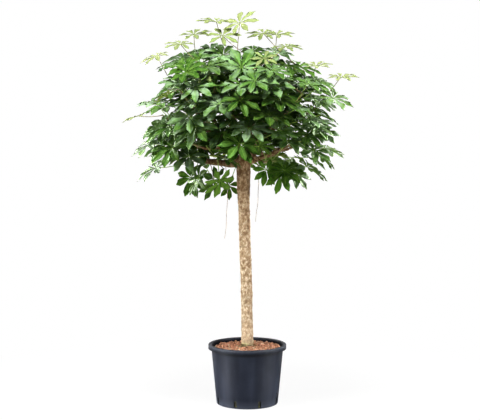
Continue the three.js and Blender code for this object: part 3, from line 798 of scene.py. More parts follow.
@dataclass
class NurseryPot:
    """A tapered nursery pot with a turned-over lip, drain slots at its foot and two air holes."""

    height: float = 230
    base_radius: float = 118
    top_radius: float = 138
    wall: float = 2.4
    floor: float = 3
    dish: float = 0.6
    dish_inset: float = 14
    rim_radius: float = 150
    rim_height: float = 17
    rim_wall: float = 2.6
    rim_flare: float = 0.2
    slots: int = 8
    slot_width: float = 12
    slot_low: float = 5
    slot_high: float = 31
    air_hole_radius: float = 4
    air_hole_height: float = 46
    air_hole_azimuths: Span = (-22.5, 157.5)
    collar_gap: float = 2.2
    collar_half_width: float = 1.3
    collar_half_depth: float = 1.1
    cut_inwards: float = 12
    cut_outwards: float = 18
    sides: int = 144
    crease: float = 38

    def outer(self, height: Number) -> Number:
        """Returns the wall's outer radius at a height."""
        return lerp(self.base_radius, self.top_radius, height / (self.height - self.rim_height))

    def inner(self, height: Number) -> Number:
        """Returns the wall's inner radius at a height."""
        return self.outer(height) - self.wall

    def body(self) -> Shell:
        """Builds the pot before its holes: the profile is turned about Z.

        Its corners run from the middle of the base out and up, over the lip and down the inside.

        Returns:
            The closed body.
        """
        foot = self.height - self.rim_height
        under = self.height - self.rim_wall - 1
        hang = self.rim_radius - self.rim_wall
        dish = self.base_radius - self.dish_inset
        middle = self.height * 0.5
        corners = [
            (0, self.dish, 0),
            (dish, self.dish, 1.0),
            (dish + 2, 0, 1.0),
            (self.base_radius, 0, 4.5),
            (self.outer(middle), middle, 0),
            (self.top_radius, foot, 3),
            (self.outer(under), under, 2.5),
            (hang, under, 2),
            (hang, foot, 0.9),
            (self.rim_radius, foot, 1.1),
            (self.rim_radius + self.rim_flare, self.height, 4.0),
            (self.inner(self.height), self.height, 2.2),
            (self.inner(middle), middle, 0),
            (self.inner(self.floor), self.floor, 2.0),
            (0, self.floor, 0),
        ]
        return lathe(rounded(corners), self.sides)

    def cutter(self, azimuth: float, outline: Array) -> Shell:
        """Builds a prism that cuts the wall: the outline, in width and height, pushed outwards.

        Args:
            azimuth: Where it cuts, in degrees from +X.
            outline: Points round the opening, turning left as seen from outside.

        Returns:
            The prism.
        """
        outward, sideways = polar(azimuth, 0), polar(azimuth + 90, 0)
        depths = np.array([self.base_radius - self.cut_inwards, self.base_radius + self.cut_outwards])
        flat = outline[:, :1] * sideways + outline[:, 1:] * UP
        points = (depths[:, None, None] * outward + flat[None]).reshape(-1, 3)
        count = len(outline)
        ends = [np.arange(count)[::-1][None], (np.arange(count) + count)[None]]
        return Shell(points, [(grid_faces(2, count, True), 0), (ends[0], 0), (ends[1], 0)])

    def openings(self) -> list[Shell]:
        """Builds the cutters: drain slots with an arch on top, and round air holes.

        Returns:
            One prism for each opening.
        """
        half = self.slot_width / 2
        turn = np.linspace(0, np.pi, 9)
        arch = np.stack([half * np.cos(turn), self.slot_high - half + half * np.sin(turn)], -1)
        slot = np.concatenate([arch, [[-half, self.slot_low], [half, self.slot_low]]])
        turn = turns(20)
        radius = self.air_hole_radius
        hole = np.stack([radius * np.cos(turn), self.air_hole_height + radius * np.sin(turn)], -1)
        spacing = 360 / self.slots
        cutters = [self.cutter((order + 0.5) * spacing, slot) for order in range(self.slots)]
        return cutters + [self.cutter(azimuth, hole) for azimuth in self.air_hole_azimuths]

    def collar(self, azimuth: float) -> Shell:
        """Builds the moulded ring round an air hole: a torus half sunk in the wall.

        A point is wall + (ring + small cos b) (sideways cos a + up sin a) + outward small sin b.

        Args:
            azimuth: Where the hole is, in degrees from +X.

        Returns:
            The ring.
        """
        around, about = 28, 8
        a = turns(around)[None, :, None]
        b = turns(about)[:, None, None]
        outward, sideways = polar(azimuth, 0), polar(azimuth + 90, 0)
        span = self.air_hole_radius + self.collar_gap + self.collar_half_width * np.cos(b)
        aside = span * np.cos(a)
        height = self.air_hole_height + span * np.sin(a)
        wall = self.outer(height)
        bow = aside**2 / (2 * wall)
        out = wall - bow + self.collar_half_depth * np.sin(b)
        points = outward * out + sideways * aside + UP * height
        number = np.arange(around * about).reshape(about, around)
        rows = np.concatenate([number, number[:1]])
        faces = rows.ravel()[grid_faces(about + 1, around, True)]
        return Shell(points.reshape(-1, 3), [(faces[:, ::-1], 0)])

    def build(self) -> bpy.types.Object:
        """Builds the pot, cuts its openings and gives it its finish.

        Returns:
            The piece.
        """
        solid, tool = PieceMesh("nursery_pot_body"), PieceMesh("pot_openings")
        solid.add(self.body())
        tool.add(*self.openings())
        body, cutters = solid.build([]), tool.build([])
        cut = body.modifiers.new("openings", "BOOLEAN")
        cut.operation, cut.solver, cut.object = "DIFFERENCE", "EXACT", cutters
        finished = body.evaluated_get(bpy.context.evaluated_depsgraph_get())
        mesh = bpy.data.meshes.new_from_object(finished)
        mesh.name = "nursery_pot"
        for spare in (body, cutters):
            bpy.data.objects.remove(spare)
        mesh.shade_smooth()
        mesh.set_sharp_from_angle(angle=math.radians(self.crease))
        mesh.materials.clear()
        mesh.materials.append(MouldedPlastic().material())
        pot = bpy.data.objects.new("nursery_pot", mesh)
        bpy.context.scene.collection.objects.link(pot)
        return pot

    def collars(self) -> bpy.types.Object:
        """Builds the rings round both air holes as one piece, in plastic painted paler as a highlight.

        Returns:
            The piece.
        """
        piece = PieceMesh("air_hole_collars")
        piece.add(*(self.collar(azimuth) for azimuth in self.air_hole_azimuths))
        # The rings' paler plastic is a painted highlight.
        plastic = MouldedPlastic("collar_highlight_plastic", deep=(0.03, 0.032, 0.042), dusty=(0.06, 0.06, 0.07))
        return piece.build([plastic.material()])


@dataclass
class GranuleLayer:
    """A layer of clay granules: a bed painted dark as the shade between the grains, and loose grains
    on it that touch each other.

    Low grains stand on every place of a net, and high ones on a share of the places of a second
    net on top of it.
    """

    pot: NurseryPot
    hole: float = 20.5 + GAP
    bottom: float = 194 + GAP
    edge: float = 214
    mound: float = 7
    bed_depth: float = 5.0
    bed_rings: int = 26
    bed_sides: int = 120
    spacing: float = 9.3
    row_share: float = 0.866
    net_steps: int = 16
    low_shake: float = 2.6
    low_sizes: Span = (4.6, 6.6)
    low_lifts: Span = (-3.6, -1.4)
    high_share: float = 0.45
    high_shake: float = 3.5
    high_sizes: Span = (4.0, 6.4)
    high_lifts: Span = (0.4, 3.0)
    lumps: float = 0.16
    stretches: Span = (0.78, 1.1)
    pale_share: float = 0.05
    segments: int = 7
    stacks: int = 5
    seed: int = 11

    def rim(self) -> float:
        """Returns the bed's outer radius: the pot's inside at the layer's foot, less two gaps."""
        return self.pot.inner(self.bottom) - 2 * GAP

    def top(self, radius: Array) -> Array:
        """Returns the layer's height at a radius: edge + mound (1 - share^2)."""
        share = (radius - self.hole) / (self.rim() - self.hole)
        return self.edge + self.mound * (1 - share * share)

    def bed(self) -> Shell:
        """Builds the bed under the grains: a closed ring whose top ripples by sines of x and y.

        Returns:
            The bed, its faces numbered 1.
        """
        radii = np.linspace(self.hole + 0.01, self.rim(), self.bed_rings)
        ring = np.concatenate([radii, radii[::-1]])
        turn = turns(self.bed_sides)
        x, y = ring[:, None] * np.cos(turn), ring[:, None] * np.sin(turn)
        ripple = 0.7 * np.sin(x * 0.55) * np.sin(y * 0.6) + 0.5 * np.sin(x * 0.31 + y * 0.43)
        low = np.full((len(radii), self.bed_sides), self.bottom)
        high = (self.top(radii)[:, None] - self.bed_depth) + ripple[: len(radii)]
        height = np.concatenate([low, high[::-1]])
        points = np.stack([x, y, height], -1).reshape(-1, 3)
        last = (len(ring) - 1) * self.bed_sides
        seam = grid_faces(2, self.bed_sides, True)
        seam = np.where(seam >= self.bed_sides, seam - self.bed_sides, seam + last)
        faces = np.concatenate([grid_faces(len(ring), self.bed_sides, True), seam])
        # The bed takes the ramp's darkest colour: painted shade between the grains.
        return Shell(points, [(faces, 1)], {"tint": np.zeros(len(points))})

    def grain(self) -> tuple[Array, list[Array]]:
        """Builds one round grain of a few dozen faces: rings between two poles.

        Returns:
            Its points, one from the middle, and its faces.
        """
        lift = np.linspace(0, np.pi, self.stacks + 1)[1:-1]
        turn = turns(self.segments)
        rings = len(lift)
        x, y = np.sin(lift)[:, None] * np.cos(turn), np.sin(lift)[:, None] * np.sin(turn)
        z = np.broadcast_to(-np.cos(lift)[:, None], (rings, self.segments))
        points = np.concatenate([np.stack([x, y, z], -1).reshape(-1, 3), [-UP, UP]])
        return points, [grid_faces(rings, self.segments, True), end_caps(rings, self.segments)]

    def spots(self, draw: np.random.Generator) -> tuple[Array, Array]:
        """Scatters places on two shaken triangular nets, clear of the pot and the trunk.

        Args:
            draw: Gives the random numbers.

        Returns:
            The middle of each grain, and its size.
        """
        steps = np.arange(-self.net_steps, self.net_steps + 1)
        column, row = np.meshgrid(steps, steps)
        x = (column + 0.5 * (row % 2)) * self.spacing
        y = row * self.spacing * self.row_share
        net = np.stack([x, y], -1).reshape(-1, 2)
        low = net + draw.uniform(-self.low_shake, self.low_shake, net.shape)
        high = net + self.spacing / 2 + draw.uniform(-self.high_shake, self.high_shake, net.shape)
        high = high[draw.random(len(high)) < self.high_share]
        sizes = ((self.low_sizes, len(low)), (self.high_sizes, len(high)))
        size = np.concatenate([draw.uniform(*span, count) for span, count in sizes])
        place = np.concatenate([low, high])
        lifts = ((self.low_lifts, len(low)), (self.high_lifts, len(high)))
        lift = np.concatenate([draw.uniform(*span, count) for span, count in lifts])
        reach = np.linalg.norm(place, axis=1)
        clear_of_pot = reach + size < self.pot.inner(self.edge) - 0.8
        kept = clear_of_pot & (reach - size * 0.9 > self.hole)
        place, size, lift, reach = place[kept], size[kept], lift[kept], reach[kept]
        return np.column_stack([place, self.top(reach) + lift]), size

    def grains(self) -> Shell:
        """Builds the loose grains: lumpy, stretched balls, each turned its own way.

        Returns:
            The grains, their faces numbered 0.
        """
        draw = np.random.default_rng(self.seed)
        centre, size = self.spots(draw)
        count = len(centre)
        shape, faces = self.grain()
        lumps = 1 + draw.uniform(-self.lumps, self.lumps, (count, len(shape), 1))
        stretch = draw.uniform(*self.stretches, (count, 1, 3))
        turned = rotations(unit(draw.normal(size=(count, 4))))
        local = shape[None] * lumps * stretch * size[:, None, None]
        points = np.einsum("nij,npj->npi", turned, local) + centre[:, None]
        start = (np.arange(count) * len(shape))[:, None, None]
        whole = [((group[None] + start).reshape(-1, group.shape[1]), 0) for group in faces]
        tint = draw.beta(2.2, 1.6, count)
        tint = np.clip(tint + np.where(draw.random(count) < self.pale_share, 0.5, 0.0), 0, 1)
        return Shell(points.reshape(-1, 3), whole, {"tint": np.repeat(tint, len(shape))})

    def build(self) -> bpy.types.Object:
        """Builds the bed and its grains as one piece.

        Returns:
            The piece.
        """
        piece = PieceMesh("clay_granule_layer")
        piece.add(self.bed(), self.grains())
        # The bed's finish is darkened to 0.3: painted shade in the gaps between the grains.
        return piece.build([FiredClay().material(), FiredClay("granule_bed_shade", 0.3).material()])


# Trunk


@dataclass(frozen=True)
class Limb:
    """A limb at the fork: azimuth and rise in degrees, reach and radius in millimetres."""

    azimuth: float
    rise: float
    reach: float
    radius: float


@dataclass
class Stem:
    """A leafy stem or young shoot: where it grows, which way, its length and its leaves."""

    name: str
    number: int
    foot: Array
    heading: Array
    length: float
    outward: Array | None = None
    leaves: int = 0

    def at(self, share: float) -> Array:
        """Returns the point a share of the way up the stem."""
        return self.foot + self.heading * self.length * share

    def side(self, turn: float) -> Array:
        """Returns the direction off the stem at a turn from outwards: u cos t + (heading x u) sin t."""
        u = across(self.outward, self.heading)
        return u * math.cos(turn) + np.cross(self.heading, u) * math.sin(turn)


@dataclass
class Trunk:
    """The bare trunk, its callus, the limbs and branches of the crown, and its hanging roots.

    A scar is given by its height and azimuth, a ring of the callus by its height above the fork
    and its radius, and a root by its start, its end and its radius. The form of a knot, pit or
    scar is how tall it is in millimetres, how wide in radians and how far it stands out. A net
    is the rings along a limb, branch or root and the points in a ring.
    """

    radius: float = 20.5
    top_radius: float = 26
    foot: float = 100
    bare: float = 232
    fork: Array = field(default_factory=lambda: np.array([-15.0, 0.0, 925.0]))
    widening: float = 190
    bump: float = 1.12
    bark_depth: float = 1.2
    flare: float = 2.4
    flare_reach: float = 34
    limb_taper: float = 0.62
    limb_key: int = 200
    limb_start: float = 6
    limb_middle: float = 0.55
    limb_dip: float = 4
    limb_lift: float = 6
    limb_net: tuple[int, int] = (30, 18)
    branch_net: tuple[int, int] = (16, 9)
    root_net: tuple[int, int] = (26, 6)
    branch_shares: Span = (0.5, 0.96)
    branch_radius: float = 6.6
    twig_radius: float = 5.2
    sides: int = 56
    rings: int = 300
    knots: int = 150
    knot_forms: tuple[Span, Span, Span] = ((2.6, 6), (0.14, 0.3), (0.5, 1.5))
    pits: int = 30
    pit_form: Point = (1.8, 0.8, -0.9)
    scar_form: Point = (4.5, 0.26, 2.8)
    seed: int = 5
    scars: tuple[Span, ...] = (
        (678, 190),
        (633, 352),
        (617, 192),
        (485, 188),
        (387, 200),
        (556, 262),
        (742, 280),
    )
    callus: tuple[Span, ...] = ((4, 29.5), (11, 31), (18, 29.5), (25, 25.5), (31, 19), (35, 9))
    limbs: tuple[Limb, ...] = (
        Limb(184, 2, 150, 16),
        Limb(205, 34, 150, 10),
        Limb(346, 19, 180, 11),
        Limb(292, 36, 130, 10),
        Limb(248, 56, 140, 9),
        Limb(28, 38, 140, 10),
        Limb(78, 24, 140, 12),
        Limb(132, 30, 140, 11),
        Limb(40, 80, 170, 11),
    )
    roots: tuple[tuple[Point, Point, float], ...] = (
        ((-84, -12, 926), (-86, -22, 640), 0.9),
        ((38, -22, 946), (31, -30, 705), 0.9),
        ((-118, -6, 930), (-88, -34, 905), 1.7),
        ((-142, -8, 926), (-128, -28, 868), 1.4),
    )

    def centre(self, height: Array) -> Array:
        """Returns the trunk's middle: it leans towards the fork by a smooth step of height."""
        share = smoothstep(height, self.bare, self.fork[2])
        return np.stack([self.fork[0] * share, self.fork[1] * share, height], -1)

    def bark_radius(self, height: Array, turn: Array) -> Array:
        """Returns the bark's radius: wider at the fork and the foot, with slow waves, knots and scars.

        A knot, pit or scar adds depth exp(-(rise / tall)^2 - (angle / wide)^2).

        Args:
            height: Heights, broadcast against turn.
            turn: Angles round the trunk.

        Returns:
            The radius at each height and angle.
        """
        widened = smoothstep(height, self.fork[2] - self.widening, self.fork[2])
        plain = lerp(self.radius, self.top_radius, widened)
        waves = np.sin(3 * turn + height / 37) + 0.8 * np.sin(2 * turn - height / 21)
        grown = smoothstep(height, self.bare - 12, self.bare + 6)
        draw = np.random.default_rng(self.seed)
        lumps = np.zeros(np.broadcast(height, turn).shape)
        places = ((self.bare + 12, self.fork[2] - 25), (0, 2 * np.pi))
        spans = (*places, *self.knot_forms)
        knots = [tuple(draw.uniform(*span) for span in spans) for _ in range(self.knots)]
        pits = [(*(draw.uniform(*span) for span in places), *self.pit_form) for _ in range(self.pits)]
        scars = [(at, math.radians(side), *self.scar_form) for at, side in self.scars]
        for at, side, tall, wide, depth in knots + pits + scars:
            away = np.angle(np.exp(1j * (turn - side)))
            lumps += depth * np.exp(-(((height - at) / tall) ** 2) - (away / wide) ** 2)
        rough = 0.35 * np.sin(7 * turn + height / 6.1) + 0.3 * np.sin(11 * turn - height / 4.3)
        flare = self.bark_depth + self.flare * np.exp(-np.abs(height - self.bare) / self.flare_reach)
        return plain + grown * (flare + 0.45 * self.bump * waves + lumps + rough)

    def trunk_shell(self) -> Shell:
        """Builds the trunk up to its callus, where the limbs leave it, as one tube on its middle.

        Its rings have the bark's radius. Those of the callus are waved by sines of the angle.

        Returns:
            The trunk, from its buried foot to the top of the callus.
        """
        buried = np.linspace(self.foot, self.bare - 14, 5)
        height = np.concatenate([buried, np.linspace(self.bare - 8, self.fork[2] - 8, self.rings)])
        turn = turns(self.sides)
        radii = self.bark_radius(height[:, None], turn[None])
        rise, swell = np.array(self.callus, float).T
        crown = swell[:, None] + 1.6 * np.sin(3 * turn + rise[:, None] / 9) + 1.1 * np.sin(5 * turn + 1)
        path = np.concatenate([self.centre(height), self.centre(self.fork[2] + rise)])
        path[-len(rise):, 0] = self.fork[0]
        return tube(path, np.concatenate([radii, crown]), self.sides)

    def limb_curve(self, limb: Limb) -> tuple[Array, Array, Array]:
        """Lays out a limb, out from the fork along its direction and a little up at its end.

        Args:
            limb: The limb.

        Returns:
            Its start, middle and end.
        """
        direction = polar(limb.azimuth, limb.rise)
        start = self.fork + direction * self.limb_start
        middle = self.fork + direction * limb.reach * self.limb_middle - self.limb_dip * UP
        return start, middle, self.fork + direction * limb.reach + self.limb_lift * UP

    def wood(self, curve: tuple[Array, ...], rings: int, sides: int, thick: Span, key: int) -> Shell:
        """Builds a limb or branch: a tube with a collar at its foot, a tapered end and slow swellings.

        Args:
            curve: Start, middle and end.
            rings: Rings along it.
            sides: Points in a ring.
            thick: Radius at the start and the end.
            key: Number that picks its swellings.

        Returns:
            The tube.
        """
        share = np.linspace(0, 1, rings)
        plain = lerp(thick[0], thick[1], share) + 0.45 * thick[0] * np.exp(-share * 14)
        phase = chance(key, 31) * 6
        along = 0.07 * np.sin(share * 17 + phase)[:, None]
        around = 0.06 * np.sin(2 * turns(sides) + phase + share[:, None] * 9)
        cap = np.minimum(1.0, 0.35 + (1 - share) * 18)
        return tube(bezier(*curve, share), plain[:, None] * (1 + along + around) * cap[:, None], sides)

    def nearest_limb(self, stem: Stem) -> Limb:
        """Returns the limb whose direction is nearest the stem's."""
        toward = unit(stem.foot - self.fork)
        return max(self.limbs, key=lambda limb: float(polar(limb.azimuth, limb.rise) @ toward))

    def branches(self, stems: list[Stem]) -> list[Shell]:
        """Builds the branch of each stem, leaving its limb in turn from the middle to the end.

        Args:
            stems: The leafy stems.

        Returns:
            A branch for each stem.
        """
        shells = []
        thick = (self.branch_radius, self.twig_radius)
        for limb in self.limbs:
            carried = [stem for stem in stems if self.nearest_limb(stem) is limb]
            carried.sort(key=lambda stem: float(np.linalg.norm(stem.foot - self.fork)))
            for order, stem in enumerate(carried):
                share = lerp(*self.branch_shares, (order + 1) / len(carried))
                start = bezier(*self.limb_curve(limb), share)
                bend = float(np.linalg.norm(start - stem.foot)) * 0.35
                curve = (start, stem.foot - stem.heading * bend, stem.foot)
                shells.append(self.wood(curve, *self.branch_net, thick, stem.number))
        return shells

    def air_root(self, start: Point, end: Point, radius: float) -> Shell:
        """Builds a hanging root: a curve that sways, then hangs, with a slow wriggle.

        Args:
            start: Where it leaves the wood.
            end: Its tip.
            radius: Its radius at the start.

        Returns:
            The root.
        """
        start, end = np.array(start, float), np.array(end, float)
        sway = float(np.linalg.norm(end - start)) * 0.06
        middle = lerp(start, end, 0.4) + np.array([sway, -sway, 0])
        rings, sides = self.root_net
        share = np.linspace(0, 1, rings)
        path = bezier(start, middle, end, share)
        path[:, 0] += 1.2 * np.sin(share * 19 + start[0]) * share
        path[:, 1] += 1.2 * np.cos(share * 15 + start[0]) * share
        return tube(path, radius * lerp(1.0, 0.7, share), sides)

    def build(self, stems: list[Stem]) -> bpy.types.Object:
        """Builds all the wood as one piece.

        Args:
            stems: The leafy stems that the branches carry.

        Returns:
            The piece.
        """
        piece = PieceMesh("trunk_and_limbs")
        piece.add(self.trunk_shell())
        for key, limb in enumerate(self.limbs):
            thick = (limb.radius, limb.radius * self.limb_taper)
            piece.add(self.wood(self.limb_curve(limb), *self.limb_net, thick, self.limb_key + key))
        piece.add(*self.branches(stems), *(self.air_root(*root) for root in self.roots))
        return piece.build([Bark().material()])


# Leaves

# The crown's middle stands this far along X, in millimetres.
CROWN_MIDDLE = -28.0
# A leaf's key tells which kind it is. A leaf of a spiral or a shoot has ten times its stem's number
# and its place on the stem. The keys of placed leaves and of inner leaves start at these two.
PLACED_KEY = 900
INNER_KEY = 2000
# The first young shoot's number.
SHOOT_NUMBER = 100


class Draw(IntEnum):
    """Which of a leaf's own chances is asked for. Some have a number for each leaflet after it."""

    LEAFLETS = 11
    DROOP = 12
    SHAKE = 20
    GROWN = 40
    WAVE = 60
    TINT = 71
    # The chance of a leaf's painted sheen.
    SHEEN = 73
    BEND = 80
    FAN = 120


@dataclass(frozen=True)
class LeafForm:
    """The form of a kind of leaf and of the stem it grows on.

    The petiole's radius and the stem's radii at foot and tip are in millimetres. Droop, arch and
    greatest half width are shares of a leaflet's length.
    """

    petiole: float
    droop: float
    arch: float
    broad: float
    stem: Span
    slot: str


class Age(Enum):
    """A leaf's age, with its form."""

    MATURE = LeafForm(1.5, 0.05, 0.055, 0.19, (4.6, 3.2), "mature_leaf")
    YOUNG = LeafForm(1.35, 0.05, 0.04, 0.145, (2.6, 2.0), "young_leaf")


@dataclass
class Leaf:
    """A palmate leaf: where its petiole starts, its hub, and how its blade lies."""

    age: Age
    key: int
    root: Array
    hub: Array
    facing: Array
    ahead: Array
    length: float
    LIFT = 0.1
    FOLD = 0.25
    ARRIVAL = 0.25
    TURN_SHARE = 0.95
    SHAKE = 0.16
    FAN_SHAKE = 0.14
    SHORTER = 0.3
    MORE_DROOP = 0.18

    def __post_init__(self) -> None:
        """Works out the blade's axes, and the angle and length of each leaflet of the solid."""
        arrival = unit(self.hub - self.root)
        normal = unit(self.facing)
        self.normal = unit(normal + arrival * max(0.0, self.ARRIVAL - float(normal @ arrival)))
        self.first = across(self.ahead, self.normal)
        self.second = np.cross(self.normal, self.first)
        count = 6 if self.age is Age.YOUNG else 6 + int(chance(self.key, Draw.LEAFLETS) + 0.5)
        self.droop = self.age.value.droop + self.MORE_DROOP * chance(self.key, Draw.DROOP)
        self.sag = unit(-self.normal - 0.7 * UP)
        self.angles = self.spread(count, Draw.SHAKE, self.SHAKE)
        place = np.arange(count) - (count - 1) / 2
        shorter = 1 - self.SHORTER * np.abs(place / (count / 2)) ** 1.5
        self.reaches = self.length * shorter * (0.94 + 0.12 * self.draws(Draw.GROWN, count))

    def draws(self, which: Draw, count: int) -> Array:
        """Returns one of the leaf's own chances for each of a number of leaflets."""
        return np.array([chance(self.key, which + order) for order in range(count)])

    def spread(self, count: int, which: Draw, shake: float) -> Array:
        """Returns evenly spread angles for a number of leaflets, each shaken by a chance."""
        place = np.arange(count) - (count - 1) / 2
        return place * 2 * np.pi * self.TURN_SHARE / count + shake * (self.draws(which, count) - 0.5)

    def fan(self) -> tuple[Array, Array]:
        """Spreads the full number of leaflets over the blade's own fan.

        Returns:
            Each leaflet's angle and length: one more than the solid has, as long as its leaflets
            are at that angle.
        """
        angles = self.spread(len(self.angles) + 1, Draw.FAN, self.FAN_SHAKE)
        return angles, np.interp(angles, self.angles, self.reaches)

    def rays(self, angles: Array) -> Array:
        """Returns the directions at angles round the hub: cos a first + sin a second."""
        return np.cos(angles)[:, None] * self.first + np.sin(angles)[:, None] * self.second

    def ribs(self, angles: Array) -> Array:
        """Returns the ways from the hub to the tips at angles round it, over the leaflets' length."""
        return self.rays(angles) + self.LIFT * self.normal + self.droop * self.sag

    def tips(self) -> Array:
        """Returns the tips of the solid's leaflets."""
        return self.hub + self.ribs(self.angles) * self.reaches[:, None]


@dataclass
class LeafBuilder:
    """Builds leaves as closed thin blades of quads, on one grid of shares for every leaflet.

    The shades are the places on the ramp of greens of some leaves placed in front, by their order:
    partly each leaf's own green, partly painted light and shade. A leaf's tint and painted sheen
    change over spans of its height and of how far it stands to the side, in millimetres, and its
    sheen also with how level it lies; the paling to the sides is painted light. The blade's
    thickness and how much thicker its midrib is are in millimetres too.
    """

    rows: tuple[float, ...] = (0, 0.06, 0.12, 0.2, 0.3, 0.42, 0.54, 0.66, 0.77, 0.86, 0.94, 1.0)
    columns: tuple[float, ...] = (-1.0, -0.64, -0.28, 0.0, 0.28, 0.64, 1.0)
    stalk: float = 0.07
    point: float = 0.135
    narrowest: float = 0.011
    crease: float = 0.012
    edge_wave: float = 0.028
    edge_waves: float = 1.7
    swing: float = 0.06
    thickness: float = 0.4
    midrib: float = 0.9
    midrib_width: float = 0.014
    neck_drop: float = 0.6
    petiole_sag: float = 0.07
    petiole_sides: int = 7
    tint_heights: Span = (850, 1350)
    # Leaves pale over this span to the side: painted light on the crown's rim.
    painted_light_sides: Span = (150, 320)
    # Spans of the painted sheen: painted reflection on level leaves and painted rim light to the sides.
    sheen_levels: Span = (0.35, 0.85)
    sheen_heights: Span = (900, 1200)
    sheen_sides: Span = (220, 380)
    # Given tints, partly each leaf's own green, partly painted light and shade.
    shades: tuple[Span, ...] = (
        (0, 0.35),
        (1, 0.4),
        (2, 0.35),
        (5, 0.66),
        (6, 0.05),
        (7, 0.5),
        (8, 0.95),
        (12, 0.6),
        (24, 0.9),
        (25, 0.55),
    )

    def outline(self, age: Age) -> Array:
        """Works out the blade's half width: a narrow stalk, then sin(0.86 pi x^1.12)^0.9.

        Args:
            age: The leaf's age, which gives the greatest half width.

        Returns:
            The half width at each row, over the leaflet's length. x is the share past the stalk.
        """
        x = np.clip((np.array(self.rows) - self.stalk) / (1 - self.stalk), 0, 1)
        wide = np.sin(np.pi * 0.86 * x**1.12) ** 0.9
        return np.maximum(age.value.broad * wide, self.narrowest)

    def blades(self, leaf: Leaf) -> tuple[Array, Array, Array, Array]:
        """Works out both faces of a leaf's leaflets.

        A point is hub + rib share length + crosswise half + normal (fold |half| + arch + wave).
        The arch is 4 s (1 - s), and the wave runs along the edge. The lower face lies under the
        upper one by the blade's thickness, more at the midrib.

        Args:
            leaf: The leaf.

        Returns:
            The points of the upper and the lower face, for each leaflet, row and column, and how
            far along and aside they are, for each row and column.
        """
        form = leaf.age.value
        angles, reaches = leaf.fan()
        count = len(angles)
        u, t = np.array(self.rows)[:, None], np.array(self.columns)[None]
        half = self.outline(leaf.age)[:, None] * t
        share = u - self.point * np.abs(t) ** 1.6 * u**5
        phase = leaf.draws(Draw.WAVE, count)[:, None, None] * 2 * np.pi
        bend = (leaf.draws(Draw.BEND, count) - 0.5)[:, None, None]
        lift = leaf.FOLD * (np.sqrt(half**2 + self.crease**2) - self.crease)[None]
        lift = lift + form.arch * (1 + bend) * (4 * u * (1 - u))[None]
        ripple = np.sin(2 * np.pi * self.edge_waves * u[None] + phase + (t > 0) * 1.9)
        wave = self.edge_wave * (t**2)[None] * ripple
        lift = lift + wave * smoothstep(u, 0.15, 0.4)[None]
        swing = self.swing * bend * (u**2 - u)[None] * 4
        crosswise = np.cross(leaf.normal, leaf.rays(angles))
        upper = leaf.hub + reaches[:, None, None, None] * (
            leaf.ribs(angles)[:, None, None] * share[None, ..., None]
            + crosswise[:, None, None] * (half[None] + swing)[..., None]
            + leaf.normal * lift[..., None]
        )
        thicker = self.midrib * np.exp(-((half / self.midrib_width) ** 2)) * (1 - 0.6 * u)
        depth = self.thickness + thicker
        lower = upper - leaf.normal * depth[None, ..., None]
        return upper, lower, share, half / form.broad

    def leaflets(self, leaf: Leaf) -> Shell:
        """Builds the leaflets of a leaf. The lower face meets the upper one at the edge.

        Args:
            leaf: The leaf.

        Returns:
            All its leaflets, upper faces numbered 0 and lower faces 1.
        """
        upper, lower, along, aside = self.blades(leaf)
        count, rows, columns = upper.shape[:3]
        inner = np.zeros((rows, columns), bool)
        inner[1:-1, 1:-1] = True
        size = rows * columns
        each = size + int(inner.sum())
        under = np.arange(size).reshape(rows, columns)
        under[inner] = np.arange(size, each)
        quads = grid_faces(rows, columns)
        top, low = quads[:, ::-1], under.ravel()[quads]
        points = np.concatenate([upper.reshape(count, size, 3), lower[:, inner]], axis=1)
        start = (np.arange(count) * each)[:, None, None]
        faces = [((top[None] + start).reshape(-1, 4), 0), ((low[None] + start).reshape(-1, 4), 1)]
        values = {name: np.full(count * each, own(leaf)) for name, own in self.looks()}
        for name, plane in (("along", along), ("aside", aside)):
            values[name] = np.tile(np.concatenate([plane.ravel(), plane[inner]]), count)
        return Shell(points.reshape(-1, 3), faces, values)

    def looks(self) -> tuple[tuple[str, Callable[[Leaf], float]], ...]:
        """Returns the values that a leaf has all over, each with its name."""
        return ("tint", self.tint), ("painted_sheen", self.painted_sheen)

    def tint(self, leaf: Leaf) -> float:
        """Works out a leaf's place on its ramp of greens: its own chance, paler to the sides as painted light
        and darker for inner leaves as painted shade; some placed leaves have theirs given.

        Args:
            leaf: The leaf.

        Returns:
            The place, from 0 to 1.
        """
        shades = dict(self.shades)
        if leaf.key - PLACED_KEY in shades:
            return shades[leaf.key - PLACED_KEY]
        own = chance(leaf.key, Draw.TINT) ** 1.5
        # Inner leaves are painted darker: painted shade inside the crown.
        if leaf.key >= INNER_KEY:
            return 0.25 * own
        height = float(smoothstep(leaf.hub[2], *self.tint_heights))
        # Leaves to the sides are painted paler: painted light on the crown's rim.
        outward = float(smoothstep(abs(leaf.hub[0] - CROWN_MIDDLE), *self.painted_light_sides))
        return 0.02 + 0.5 * own + 0.06 * height * own + 0.66 * outward * (1 - own)

    def painted_sheen(self, leaf: Leaf) -> float:
        """Works out a leaf's painted sheen: a painted reflection where it faces up and painted rim light
        where it stands far out; none inside.

        Args:
            leaf: The leaf.

        Returns:
            How much painted sheen it has, from 0 to 1.
        """
        if leaf.key >= INNER_KEY:
            return 0.0
        # Painted reflection on leaves that face up, and painted rim light on those far to the side.
        level = float(smoothstep(leaf.normal[2], *self.sheen_levels))
        height = float(smoothstep(leaf.hub[2], *self.sheen_heights))
        placed = leaf.key - PLACED_KEY in dict(self.shades)
        own = 0.9 * (0.7 if placed else chance(leaf.key, Draw.SHEEN) ** 2)
        outward = float(smoothstep(abs(leaf.hub[0] - CROWN_MIDDLE), *self.sheen_sides))
        return min(1.0, level * own * (0.6 + 0.4 * height) + 0.65 * outward)

